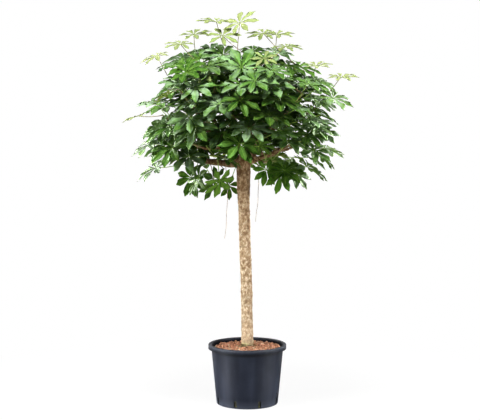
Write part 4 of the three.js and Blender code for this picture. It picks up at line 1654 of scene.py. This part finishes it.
    def petiole(self, leaf: Leaf) -> Shell:
        """Builds the petiole: it leaves the stem with a sheath, bows a little, and ends in a knob.

        Args:
            leaf: The leaf.

        Returns:
            The petiole, its faces numbered 2.
        """
        neck = leaf.hub - leaf.normal * self.neck_drop
        span = float(np.linalg.norm(neck - leaf.root))
        middle = lerp(leaf.root, neck, 0.55) - UP * self.petiole_sag * span
        share = np.concatenate([np.linspace(0, 0.94, 9), [0.975, 1.0]])
        sheath = 0.7 * np.exp(-share * 16)
        knob = 0.55 * np.exp(-(((1 - share) * span / 3.2) ** 2))
        radius = leaf.age.value.petiole * (0.9 + sheath + knob)
        path = bezier(leaf.root, middle, neck, share)
        return tube(path, radius, self.petiole_sides, 2, along=share, tint=self.tint(leaf))


@dataclass
class Spray:
    """A leafy stem or young shoot with its leaves, dressed over its CAD node.

    Its leaves are those that the node has. The inner ones are added behind them.
    """

    stem: Stem
    age: Age
    leaves: list[Leaf] = field(default_factory=list)
    inner: list[Leaf] = field(default_factory=list)
    RINGS = 17
    SIDES = 10
    RING_SIZE = 0.9
    RING_WIDTH = 0.05
    BUD = 0.55

    def stem_shell(self) -> Shell:
        """Builds the stem: a tapered tube with a ring at each leaf's foot and a bud on top.

        Returns:
            The stem, its faces numbered 3.
        """
        share = np.linspace(0, 1, self.RINGS)
        radius = lerp(*self.age.value.stem, share)
        for leaf in self.leaves + self.inner:
            at = float(np.linalg.norm(leaf.root - self.stem.foot)) / self.stem.length
            radius = radius + self.RING_SIZE * np.exp(-(((share - at) / self.RING_WIDTH) ** 2))
        radius[-1] *= self.BUD
        path = self.stem.foot + self.stem.heading * (GAP + (self.stem.length - GAP) * share)[:, None]
        return tube(path, radius, self.SIDES, 3, along=share)

    def build(self, fine: LeafBuilder, plain: LeafBuilder, finishes: Finishes) -> bpy.types.Object:
        """Builds the stem, the petioles and the blades as one piece.

        Args:
            fine: Builds the leaves of the outside.
            plain: Builds the leaves of the inside.
            finishes: Materials of the upper faces, lower faces, petioles and stem.

        Returns:
            The piece, in place of its CAD node.
        """
        mesh = PieceMesh(f"{self.stem.name}_foliage")
        mesh.add(self.stem_shell())
        for builder, leaves in ((fine, self.leaves), (plain, self.inner)):
            for leaf in leaves:
                mesh.add(builder.leaflets(leaf), builder.petiole(leaf))
        piece = mesh.build(finishes)
        settle(piece, self.stem.name, self.age.value.slot)
        return piece


@dataclass(frozen=True)
class Tier:
    """A tier of leafy stems round the crown's heart.

    It has the height and spread of their feet in millimetres, their rise in degrees, how many
    there are, the first one's azimuth in degrees, and how many leaves each has in its spiral.
    """

    height: float
    spread: float
    rise: float
    stems: int
    first: float
    leaves: int


@dataclass
class Crown:
    """The crown: leafy stems in tiers round its heart, placed leaves in front, and young shoots.

    A placed leaf is given by its hub, the ways it faces and points, and its length. An opening
    is the angle in radians from a stem to a petiole, and a lift is a share of the petiole's
    reach. The inner leaves keep inside a ball, and clear of each other by points at three shares
    of a leaflet.
    """

    frame: dict[str, Any]
    golden: float = math.radians(137.5)
    tries: int = 60
    match: float = 0.6
    heading_pull: float = 60
    leaf_length: float = 95
    leaf_reach: Span = (150, 105)
    leaf_openings: Span = (1.25, 0.55)
    leaf_lift: float = 0.08
    outward_pull: float = 0.4
    shortening: float = 0.6
    stem_lengths: Span = (66, 88)
    stem_pull: float = 0.45
    azimuth_shake: float = 16
    rise_shake: float = 8
    height_shake: float = 24
    shoot_length: float = 34
    inner: int = 4
    inner_tries: int = 16
    inner_length: Span = (62, 88)
    inner_reach: Span = (48, 118)
    inner_openings: Span = (0.8, 2.1)
    inner_lift: float = 0.12
    clearance: float = 9.0
    nearby: float = 190
    probes: Point = (0.3, 0.65, 1.0)
    ball_middle: Point = (CROWN_MIDDLE, 0, 1110)
    ball_reach: Point = (330, 320, 245)
    lowest: float = 905
    tiers: tuple[Tier, ...] = (
        Tier(945, 112, -22, 5, 20, 3),
        Tier(985, 195, -6, 7, 17, 4),
        Tier(1055, 220, 10, 7, 40, 4),
        Tier(1085, 110, 14, 4, 250, 3),
        Tier(1125, 215, 24, 7, 12, 5),
        Tier(1185, 145, 50, 6, 50, 4),
        Tier(1215, 45, 80, 3, 20, 3),
    )
    front: tuple[Placed, ...] = (
        ((-28, -175, 1287), (0.05, -0.72, 0.7), (0, 0.5, 0.8), 110),
        ((-20, -262, 1225), (0, -0.36, 0.93), (0.3, -1, 0), 104),
        ((-100, -285, 1152), (-0.2, -0.42, 0.88), (-1, 0, 0.3), 108),
        ((74, -290, 1112), (0.2, -0.36, 0.9), (1, -0.4, 0), 106),
        ((6, -300, 1066), (0.05, -0.5, 0.85), (0.2, -0.5, -1), 92),
        ((-104, -80, 866), (0.3, -0.8, 0.3), (0.3, -0.4, -1), 76),
        ((-186, -50, 872), (-0.8, -0.5, 0.2), (0.2, -0.3, -1), 80),
        ((128, -186, 892), (0.3, -0.9, 0.1), (-0.2, -0.2, -1), 70),
        ((208, -40, 914), (0.75, -0.15, 0.6), (1, -0.2, 0.2), 74),
        ((-132, 60, 862), (-0.2, -0.5, 0.8), (-0.6, 0.3, -0.6), 84),
        ((-214, 40, 868), (-0.4, -0.8, 0), (-0.8, 0, -0.6), 74),
        ((74, 60, 890), (0.2, -0.4, 0.8), (0.6, 0.3, -0.6), 74),
        ((-72, 60, 838), (0.6, -0.6, 0.4), (0.2, -0.3, -1), 56),
        ((-232, -16, 1320), (-0.2, -0.35, 0.9), (-1, -0.2, 0), 100),
        ((-306, 20, 1278), (-0.3, -0.2, 0.95), (-1, 0.2, 0), 92),
        ((-156, 30, 1350), (-0.1, -0.35, 0.93), (-0.6, 0.6, 0), 84),
        ((180, 20, 1300), (0.25, -0.3, 0.9), (1, 0, 0), 96),
        ((276, 20, 1236), (0.3, -0.35, 0.9), (1, -0.1, -0.1), 88),
        ((312, -50, 1182), (0.3, -0.4, 0.85), (1, -0.2, -0.1), 88),
        ((-372, 0, 1000), (-0.5, -0.3, 0.8), (-1, 0, -0.5), 84),
        ((-350, -10, 910), (-0.55, -0.25, 0.8), (-1, 0, -0.7), 90),
        ((112, -10, 1334), (0.1, -0.35, 0.9), (1, -0.3, 0), 82),
        ((-330, -30, 1066), (-0.4, -0.4, 0.8), (-1, -0.1, -0.3), 84),
        ((-345, 20, 1150), (-0.1, -0.15, 1), (-1, 0, 0), 84),
        ((296, -20, 984), (0.3, -0.2, 0.9), (1, 0, -0.4), 84),
        ((64, -184, 914), (0.2, -0.9, 0.2), (0.2, -0.2, -1), 60),
        ((22, 40, 1354), (0.05, -0.35, 0.93), (0.5, 0.8, 0), 70),
    )
    young: tuple[Placed, ...] = (
        ((-30, -20, 1455), (-0.35, -0.55, 0.75), (0.7, 0.2, 0.8), 84),
        ((-117, 10, 1461), (0.05, -0.2, 1), (-1, -0.2, 0.1), 84),
        ((-91, -60, 1406), (0, -0.6, 0.8), (0.4, 0.5, 0.7), 76),
        ((-203, 20, 1414), (-0.1, -0.35, 1), (1, 0.3, 0.4), 78),
        ((-252, -30, 1376), (0, -0.35, 1), (-1, 0.4, 0.1), 72),
        ((-342, 0, 1334), (-0.3, -0.3, 1), (-1, 0, -0.4), 72),
        ((61, 10, 1418), (0, -0.4, 1), (-1, 0.3, 0.3), 78),
        ((112, 40, 1414), (0, -0.25, 1), (1, 0.3, 0.1), 78),
        ((142, -60, 1366), (0, -0.25, 1), (1, -0.4, 0), 72),
        ((262, 30, 1296), (0, -0.25, 1), (1, 0.2, -0.1), 72),
        ((352, -20, 1252), (0, -0.25, 1), (1, -0.2, 0.2), 72),
        ((-412, -10, 1106), (0, -0.25, 1), (-1, -0.2, -0.3), 72),
        ((61, -150, 1319), (0.1, -0.7, 0.7), (0.2, -0.6, -0.6), 60),
        ((-148, -220, 1256), (-0.2, -0.5, 0.8), (-0.6, -1, 0), 54),
        ((-298, -150, 1188), (-0.3, -0.2, 0.9), (-1, -0.2, 0), 58),
        ((10, 270, 1300), (0, -0.25, 1), (0, 1, 0.1), 72),
    )

    def stems(self) -> list[Stem]:
        """Plans the leafy stems: each tier's feet stand on a shaken ring round the crown's heart.

        Returns:
            The stems, from the lowest tier up.
        """
        made = []
        for tier in self.tiers:
            for order in range(tier.stems):
                number = len(made) + 1
                shakes = [chance(number, which) - 0.5 for which in (1, 2, 6)]
                azimuth = tier.first + order * 360 / tier.stems + self.azimuth_shake * shakes[0]
                outward = polar(azimuth, tier.rise + self.rise_shake * shakes[1])
                reach = tier.spread * (0.8 + 0.36 * chance(number, 3))
                foot = np.array([CROWN_MIDDLE, 0.0, 0.0]) + polar(azimuth, 0) * reach
                foot[2] = tier.height + self.height_shake * shakes[2]
                heading = unit(outward + self.stem_pull * UP)
                length = lerp(*self.stem_lengths, chance(number, 4))
                name = f"leafy_stem_{number:02d}"
                made.append(Stem(name, number, foot, heading, length, outward, tier.leaves))
        return made

    def nearest(self, stems: list[Stem], hub: Point) -> Stem:
        """Finds the stem whose tip is nearest a hub, better if it points the hub's way.

        Args:
            stems: The stems to choose from.
            hub: The hub.

        Returns:
            The stem.
        """

        def score(stem: Stem) -> float:
            """Returns how far the stem's tip is, less a pull by the way it points."""
            way = np.array(hub, float) - stem.at(1)
            return float(np.linalg.norm(way) - self.heading_pull * unit(way) @ stem.heading)

        return min(stems, key=score)

    def spiral_leaf(self, stem: Stem, order: int, attempt: int) -> Leaf:
        """Places a leaf of the spiral round its stem, turned, shortened and tilted by the attempt.

        Args:
            stem: The stem.
            order: The leaf's number from the stem's foot.
            attempt: Which try of its place this is.

        Returns:
            The leaf.
        """
        share = order / (stem.leaves - 1)
        key = stem.number * 10 + order

        def draw(which: int) -> float:
            """Returns a chance of this try, from -0.5 to 0.5."""
            return chance(key, which, attempt) - 0.5

        root = stem.at(0.3 + 0.6 * share)
        turn = order * self.golden + chance(stem.number, 5) * 2 * math.pi + attempt * 0.7 * draw(1)
        opening = lerp(*self.leaf_openings, share) + 0.4 * draw(2)
        side = stem.side(turn)
        pull = self.outward_pull * stem.outward
        petiole = unit(stem.heading * math.cos(opening) + side * math.sin(opening) + pull)
        reach = lerp(*self.leaf_reach, share) * (1 + 0.3 * draw(3))
        reach *= 1 - self.shortening * attempt / self.tries
        hub = root + petiole * reach + UP * self.leaf_lift * reach
        level = np.array([stem.outward[0], stem.outward[1], 0])
        facing = 0.2 * petiole + 0.9 * UP + 0.2 * level + np.array([0.6 * draw(4), 0.6 * draw(5) - 0.28, 0])
        length = self.leaf_length * (1 + 0.3 * draw(6))
        return Leaf(Age.MATURE, key, root, hub, facing, petiole, length)

    def placed_leaf(self, age: Age, key: int, stem: Stem, given: Placed, attempt: int) -> Leaf:
        """Places a leaf at a given hub, moved a little by the attempt.

        Args:
            age: The leaf's age.
            key: The leaf's number.
            stem: The stem it grows on.
            given: Hub, facing, ahead and length.
            attempt: Which try of its place this is.

        Returns:
            The leaf.
        """
        shift = np.array([chance(key, which, attempt) - 0.5 for which in (1, 2, 3)]) * attempt * 3
        hub, facing, ahead = (np.array(value, float) for value in given[:3])
        share = 0.86 if age is Age.YOUNG else 0.2 + 0.7 * chance(key, 7, attempt)
        return Leaf(age, key, stem.at(share), hub + shift, facing, ahead, given[3])

    def grown(self, stem: Stem, tries: list[Leaf]) -> list[Leaf]:
        """Picks the try whose leaflet tips lie on the stem's CAD node.

        Args:
            stem: The stem.
            tries: The leaf at each attempt.

        Returns:
            The leaf that the node has, or nothing if it has none of them.
        """
        mesh = self.frame["nodes"][stem.name].data
        points = np.empty(len(mesh.vertices) * 3, np.float32)
        mesh.vertices.foreach_get("co", points)
        points = points.reshape(-1, 3) / MM

        def miss(leaf: Leaf) -> float:
            """Returns how far the leaf's tips are from the node's points, in millimetres."""
            apart = np.linalg.norm(leaf.tips()[:, None] - points[None], axis=-1)
            return float(np.median(apart.min(axis=1)))

        best = min(tries, key=miss)
        return [best] if miss(best) < self.match else []

    def plan(self) -> list[Spray]:
        """Finds every leaf of the CAD crown.

        Returns:
            The leafy stems and then the young shoots, each with the leaves that its node has.
        """
        stems = self.stems()
        attempts = range(self.tries)
        sprays = {stem.name: Spray(stem, Age.MATURE) for stem in stems}
        for order, given in enumerate(self.front):
            stem = self.nearest(stems, given[0])
            key = PLACED_KEY + order
            tries = [self.placed_leaf(Age.MATURE, key, stem, given, attempt) for attempt in attempts]
            sprays[stem.name].leaves += self.grown(stem, tries)
        for stem in stems:
            for order in range(stem.leaves):
                tries = [self.spiral_leaf(stem, order, attempt) for attempt in attempts]
                sprays[stem.name].leaves += self.grown(stem, tries)
        plan = list(sprays.values())
        free = list(stems)
        for order, given in enumerate(self.young):
            base = self.nearest(free, given[0])
            free.remove(base)
            number = SHOOT_NUMBER + order
            name = f"young_shoot_{order + 1:02d}"
            shoot = Stem(name, number, base.at(1), base.heading, self.shoot_length)
            tries = [self.placed_leaf(Age.YOUNG, number * 10, shoot, given, attempt) for attempt in attempts]
            plan.append(Spray(shoot, Age.YOUNG, self.grown(shoot, tries)))
        return plan

    def reach_points(self, leaf: Leaf) -> Array:
        """Finds the points of a leaf that others keep clear of, at the probes' shares of its leaflets.

        Args:
            leaf: The leaf.

        Returns:
            The points.
        """
        angles, reaches = leaf.fan()
        ribs = leaf.ribs(angles) * reaches[:, None]
        return (leaf.hub + ribs[None] * np.array(self.probes)[:, None, None]).reshape(-1, 3)

    def inner_leaf(self, stem: Stem, order: int, attempt: int) -> Leaf:
        """Places a smaller leaf of the crown's inside: on a short petiole off the side of its stem.

        Args:
            stem: The stem.
            order: The leaf's number on it.
            attempt: Which try of its place this is.

        Returns:
            The leaf.
        """
        key = INNER_KEY + stem.number * 10 + order
        draw = [chance(key, which, attempt) for which in range(7)]
        root = stem.at(0.1 + 0.75 * draw[0])
        opening = lerp(*self.inner_openings, draw[2])
        side = stem.side(2 * math.pi * draw[1])
        petiole = unit(stem.heading * math.cos(opening) + side * math.sin(opening))
        reach = lerp(*self.inner_reach, draw[3])
        hub = root + petiole * reach + UP * self.inner_lift * reach
        facing = 0.4 * petiole + 0.8 * UP + np.array([draw[4] - 0.5, draw[5] - 0.65, 0])
        return Leaf(Age.MATURE, key, root, hub, facing, petiole, lerp(*self.inner_length, draw[6]))

    def inside(self, points: Array) -> bool:
        """Tells whether points lie in the crown's shape: a flat ball, not below the fork's leaves."""
        ball = ((points - np.array(self.ball_middle)) / np.array(self.ball_reach)) ** 2
        return bool(ball.sum(-1).max() < 1 and points[:, 2].min() > self.lowest)

    def clearest(self, stem: Stem, order: int, taken: list[tuple[Array, Array]]) -> Leaf | None:
        """Picks the try of an inner leaf that keeps furthest from the leaves before it.

        Args:
            stem: The stem.
            order: The leaf's number on it.
            taken: The hub and the points of each leaf before it.

        Returns:
            The leaf, or None if no try is inside the crown and clear.
        """
        best, clear = None, self.clearance
        for attempt in range(self.inner_tries):
            leaf = self.inner_leaf(stem, order, attempt)
            points = self.reach_points(leaf)
            if not self.inside(points):
                continue
            near = [there for hub, there in taken if np.abs(hub - leaf.hub).max() < self.nearby]
            apart = np.concatenate(near)[None] - points[:, None]
            free = math.sqrt(float((apart**2).sum(-1).min()))
            if free > clear:
                best, clear = leaf, free
        return best

    def fill(self, plan: list[Spray]) -> None:
        """Fills the crown's inside with leaves, each where it clears all those before it.

        Args:
            plan: The stems and shoots. The stems get their inner leaves.
        """
        taken = [(leaf.hub, self.reach_points(leaf)) for spray in plan for leaf in spray.leaves]
        for order in range(self.inner):
            for spray in plan:
                if spray.age is Age.YOUNG:
                    continue
                leaf = self.clearest(spray.stem, order, taken)
                if leaf:
                    spray.inner.append(leaf)
                    taken.append((leaf.hub, self.reach_points(leaf)))

    def finishes(self) -> dict[Age, Finishes]:
        """Makes the finishes of the leaves, petioles and stems.

        Returns:
            For each age, the materials of upper faces, lower faces, petioles and stem.
        """
        twig = Stalk("twig_skin", foot=(0.20, 0.14, 0.07), tip=(0.20, 0.26, 0.06)).material()
        upper = LeafFace(
            "leaf_upper",
            ramp=((0.002, 0.026, 0.001), (0.037, 0.107, 0.012), (0.21, 0.31, 0.060)),
            vein=(0.20, 0.36, 0.04),
            vein_share=0.5,
            rough=(0.36, 0.48),
            through=0.18,
            glow=(0.19, 0.43, 0.020),
            shine=0.3,
            sheen_strength=0.66,
        )
        lower = LeafFace(
            "leaf_lower",
            ramp=((0.022, 0.062, 0.006), (0.056, 0.130, 0.014), (0.20, 0.33, 0.050)),
            vein=(0.24, 0.38, 0.07),
            vein_share=0.6,
            rough=(0.50, 0.62),
            through=0.26,
            glow=(0.30, 0.46, 0.010),
            shine=0.15,
        )
        petiole = Stalk("petiole_skin", foot=(0.17, 0.26, 0.04), tip=(0.34, 0.50, 0.09))
        young_upper = LeafFace(
            "young_leaf_upper",
            ramp=((0.17, 0.225, 0.075), (0.27, 0.315, 0.145), (0.40, 0.425, 0.24)),
            vein=(0.45, 0.50, 0.25),
            vein_share=0.5,
            rough=(0.34, 0.47),
            through=0.36,
            glow=(0.44, 0.50, 0.16),
            shine=0.4,
        )
        young_lower = LeafFace(
            "young_leaf_lower",
            ramp=((0.24, 0.31, 0.10), (0.37, 0.43, 0.17), (0.50, 0.54, 0.26)),
            vein=(0.54, 0.58, 0.30),
            vein_share=0.5,
            rough=(0.5, 0.6),
            through=0.36,
            glow=(0.46, 0.52, 0.16),
            shine=0.2,
        )
        young_petiole = Stalk("young_petiole_skin", foot=(0.16, 0.09, 0.05), tip=(0.26, 0.26, 0.09))
        kinds = {Age.MATURE: (upper, lower, petiole), Age.YOUNG: (young_upper, young_lower, young_petiole)}
        return {age: [*(finish.material() for finish in kind), twig] for age, kind in kinds.items()}

    def build(self, plan: list[Spray]) -> list[bpy.types.Object]:
        """Builds a piece for each stem and shoot of the plan.

        Args:
            plan: Each stem or shoot with its leaves.

        Returns:
            The pieces.
        """
        finishes = self.finishes()
        fine = LeafBuilder()
        plain = LeafBuilder((0, 0.08, 0.2, 0.38, 0.58, 0.78, 0.92, 1.0), (-1.0, -0.5, 0.0, 0.5, 1.0))
        self.fill(plan)
        given = sum(len(spray.leaves) for spray in plan)
        added = sum(len(spray.inner) for spray in plan)
        LOG.info("leaves: %d of the solids, %d added", given, added)
        return [spray.build(fine, plain, finishes[spray.age]) for spray in plan]


# Studio


@dataclass(frozen=True)
class SoftLight:
    """A square soft light: where it hangs, what it faces, its side, power, beam and colour.

    Places and the side are in metres, the power is in watts and the beam's width in degrees.
    """

    name: str
    place: Point
    aim: Point
    side: float
    power: float
    spread: float = 180
    tone: Colour = (1.0, 0.99, 0.97)

    def hang(self) -> None:
        """Hangs the light, turned to its aim. The camera doesn't see the lamp itself."""
        data = bpy.data.lights.new(self.name, "AREA")
        data.size, data.energy, data.color = self.side, self.power, self.tone
        data.spread = math.radians(self.spread)
        lamp = bpy.data.objects.new(self.name, data)
        backward = unit(np.array(self.place, float) - np.array(self.aim, float))
        right = unit(np.cross(UP, backward))
        matrix = np.eye(4)
        matrix[:3, :3] = np.column_stack([right, np.cross(backward, right), backward])
        matrix[:3, 3] = self.place
        lamp.matrix_world = Matrix(matrix.tolist())
        lamp.visible_camera = False
        bpy.context.scene.collection.objects.link(lamp)


@dataclass
class Studio:
    """A white floor, a white backdrop, soft lights, and the camera of the photograph.

    The focal length and the picture's width are in pixels, the sensor is in millimetres and the
    pitch in degrees from straight down. The backdrop's light goes from below to above over a span
    of Z, and rises to behind over a span of Y.
    """

    eye: Point = (-0.028, -5.0, 1.160)
    pitch: float = 85.28
    focal: float = 1313.0
    picture: float = 480.0
    sensor: float = 36.0
    floor_radius: float = 14000
    floor_depth: float = 30
    level_span: Span = (-0.4, 0.8)
    below: float = 0.03
    above: float = 0.08
    back_span: Span = (0.3, 0.95)
    behind: float = 1.0
    lights: tuple[SoftLight, ...] = (
        SoftLight("top_light", (-0.3, -1.0, 4.2), (0, 0, 1.0), 1.1, 290),
        SoftLight("left_light", (-3.2, -2.6, 2.2), (0, 0, 0.9), 1.8, 64),
        SoftLight("right_light", (3.0, -2.2, 1.8), (0, 0, 0.8), 1.4, 67),
        SoftLight("back_left_light", (-2.6, 2.2, 2.2), (-0.1, 0, 1.15), 1.0, 10, 22),
        SoftLight("back_right_light", (2.6, 2.2, 2.2), (0.1, 0, 1.15), 1.0, 11, 22),
        SoftLight("trunk_light", (-2.2, -4.0, 1.0), (0, 0, 0.62), 0.6, 1.35, 15),
        SoftLight("pot_left_light", (-1.8, -0.7, 0.14), (0, 0, 0.06), 0.3, 1.35, 14),
        SoftLight("pot_right_light", (1.8, -0.6, 0.14), (0, 0, 0.06), 0.3, 0.95, 14),
        SoftLight("lip_left_light", (-1.5, -1.3, 1.25), (0, 0, 0.22), 0.35, 0.09, 12),
        SoftLight("lip_right_light", (1.5, -1.1, 1.15), (0, 0, 0.22), 0.35, 0.12, 12),
    )

    def camera(self) -> None:
        """Places the camera five metres in front, a little above the crown's middle."""
        data = bpy.data.cameras.new("camera")
        data.sensor_fit, data.sensor_width = "HORIZONTAL", self.sensor
        data.lens = self.sensor * self.focal / self.picture
        data.clip_end = 100
        camera = bpy.data.objects.new("camera", data)
        camera.location = self.eye
        camera.rotation_euler = (math.radians(self.pitch), 0, 0)
        bpy.context.scene.collection.objects.link(camera)
        bpy.context.scene.camera = camera

    def floor(self) -> None:
        """Lays the floor: a disc turned about Z, its face at the pot's foot."""
        deep, wide = -self.floor_depth, self.floor_radius
        profile = np.array([[0, deep], [wide, deep], [wide, 0], [0, 0]], float)
        sheet = PieceMesh("studio_floor")
        sheet.add(lathe(profile, 64))
        floor = sheet.build([StudioPaper().material()], 30)

    def world(self) -> None:
        """Makes the backdrop: white to the eye; as a light it is bright behind, dim below and in front."""
        world = bpy.data.worlds.new("studio")
        world.use_nodes = True
        nodes, links = world.node_tree.nodes, world.node_tree.links
        background = nodes["Background"]
        way = nodes.new("ShaderNodeSeparateXYZ")
        links.new(nodes.new("ShaderNodeTexCoord").outputs["Generated"], way.inputs[0])
        light = nodes.new("ShaderNodeLightPath").outputs["Is Camera Ray"]
        ranges = (
            ("Z", *self.level_span, self.below, self.above),
            ("Y", *self.back_span, 0.0, self.behind),
        )
        for axis, *span in ranges:
            part = nodes.new("ShaderNodeMapRange")
            links.new(way.outputs[axis], part.inputs["Value"])
            for name, value in zip(("From Min", "From Max", "To Min", "To Max"), span):
                part.inputs[name].default_value = value
            most = nodes.new("ShaderNodeMath")
            most.operation = "MAXIMUM"
            links.new(light, most.inputs[0])
            links.new(part.outputs["Result"], most.inputs[1])
            light = most.outputs[0]
        links.new(light, background.inputs["Strength"])
        background.inputs["Color"].default_value = (1, 1, 1, 1)
        bpy.context.scene.world = world

    def build(self) -> None:
        """Sets up the whole studio."""
        self.camera()
        self.floor()
        self.world()
        for light in self.lights:
            light.hang()
        settings = bpy.context.scene.view_settings
        settings.view_transform, settings.gamma = "Standard", 0.8


def main() -> None:
    """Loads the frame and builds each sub-assembly in order."""
    logging.basicConfig(level=logging.INFO, format="%(message)s")
    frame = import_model()
    Studio().build()
    pot = NurseryPot()
    settle(pot.build(), "pot", "pot_plastic")
    settle(pot.collars(), "pot", "pot_plastic")
    dress_node(frame, "soil", PottingSoil().material())
    settle(GranuleLayer(pot).build(), "clay_granules", "fired_clay")
    crown = Crown(frame)
    plan = crown.plan()
    stems = [spray.stem for spray in plan if spray.age is Age.MATURE]
    settle(Trunk().build(stems), "trunk", "bark")
    pieces = crown.build(plan)
    LOG.info("foliage: %d pieces, %d faces", len(pieces), sum(len(piece.data.polygons) for piece in pieces))


if __name__ == "__main__":
    main()
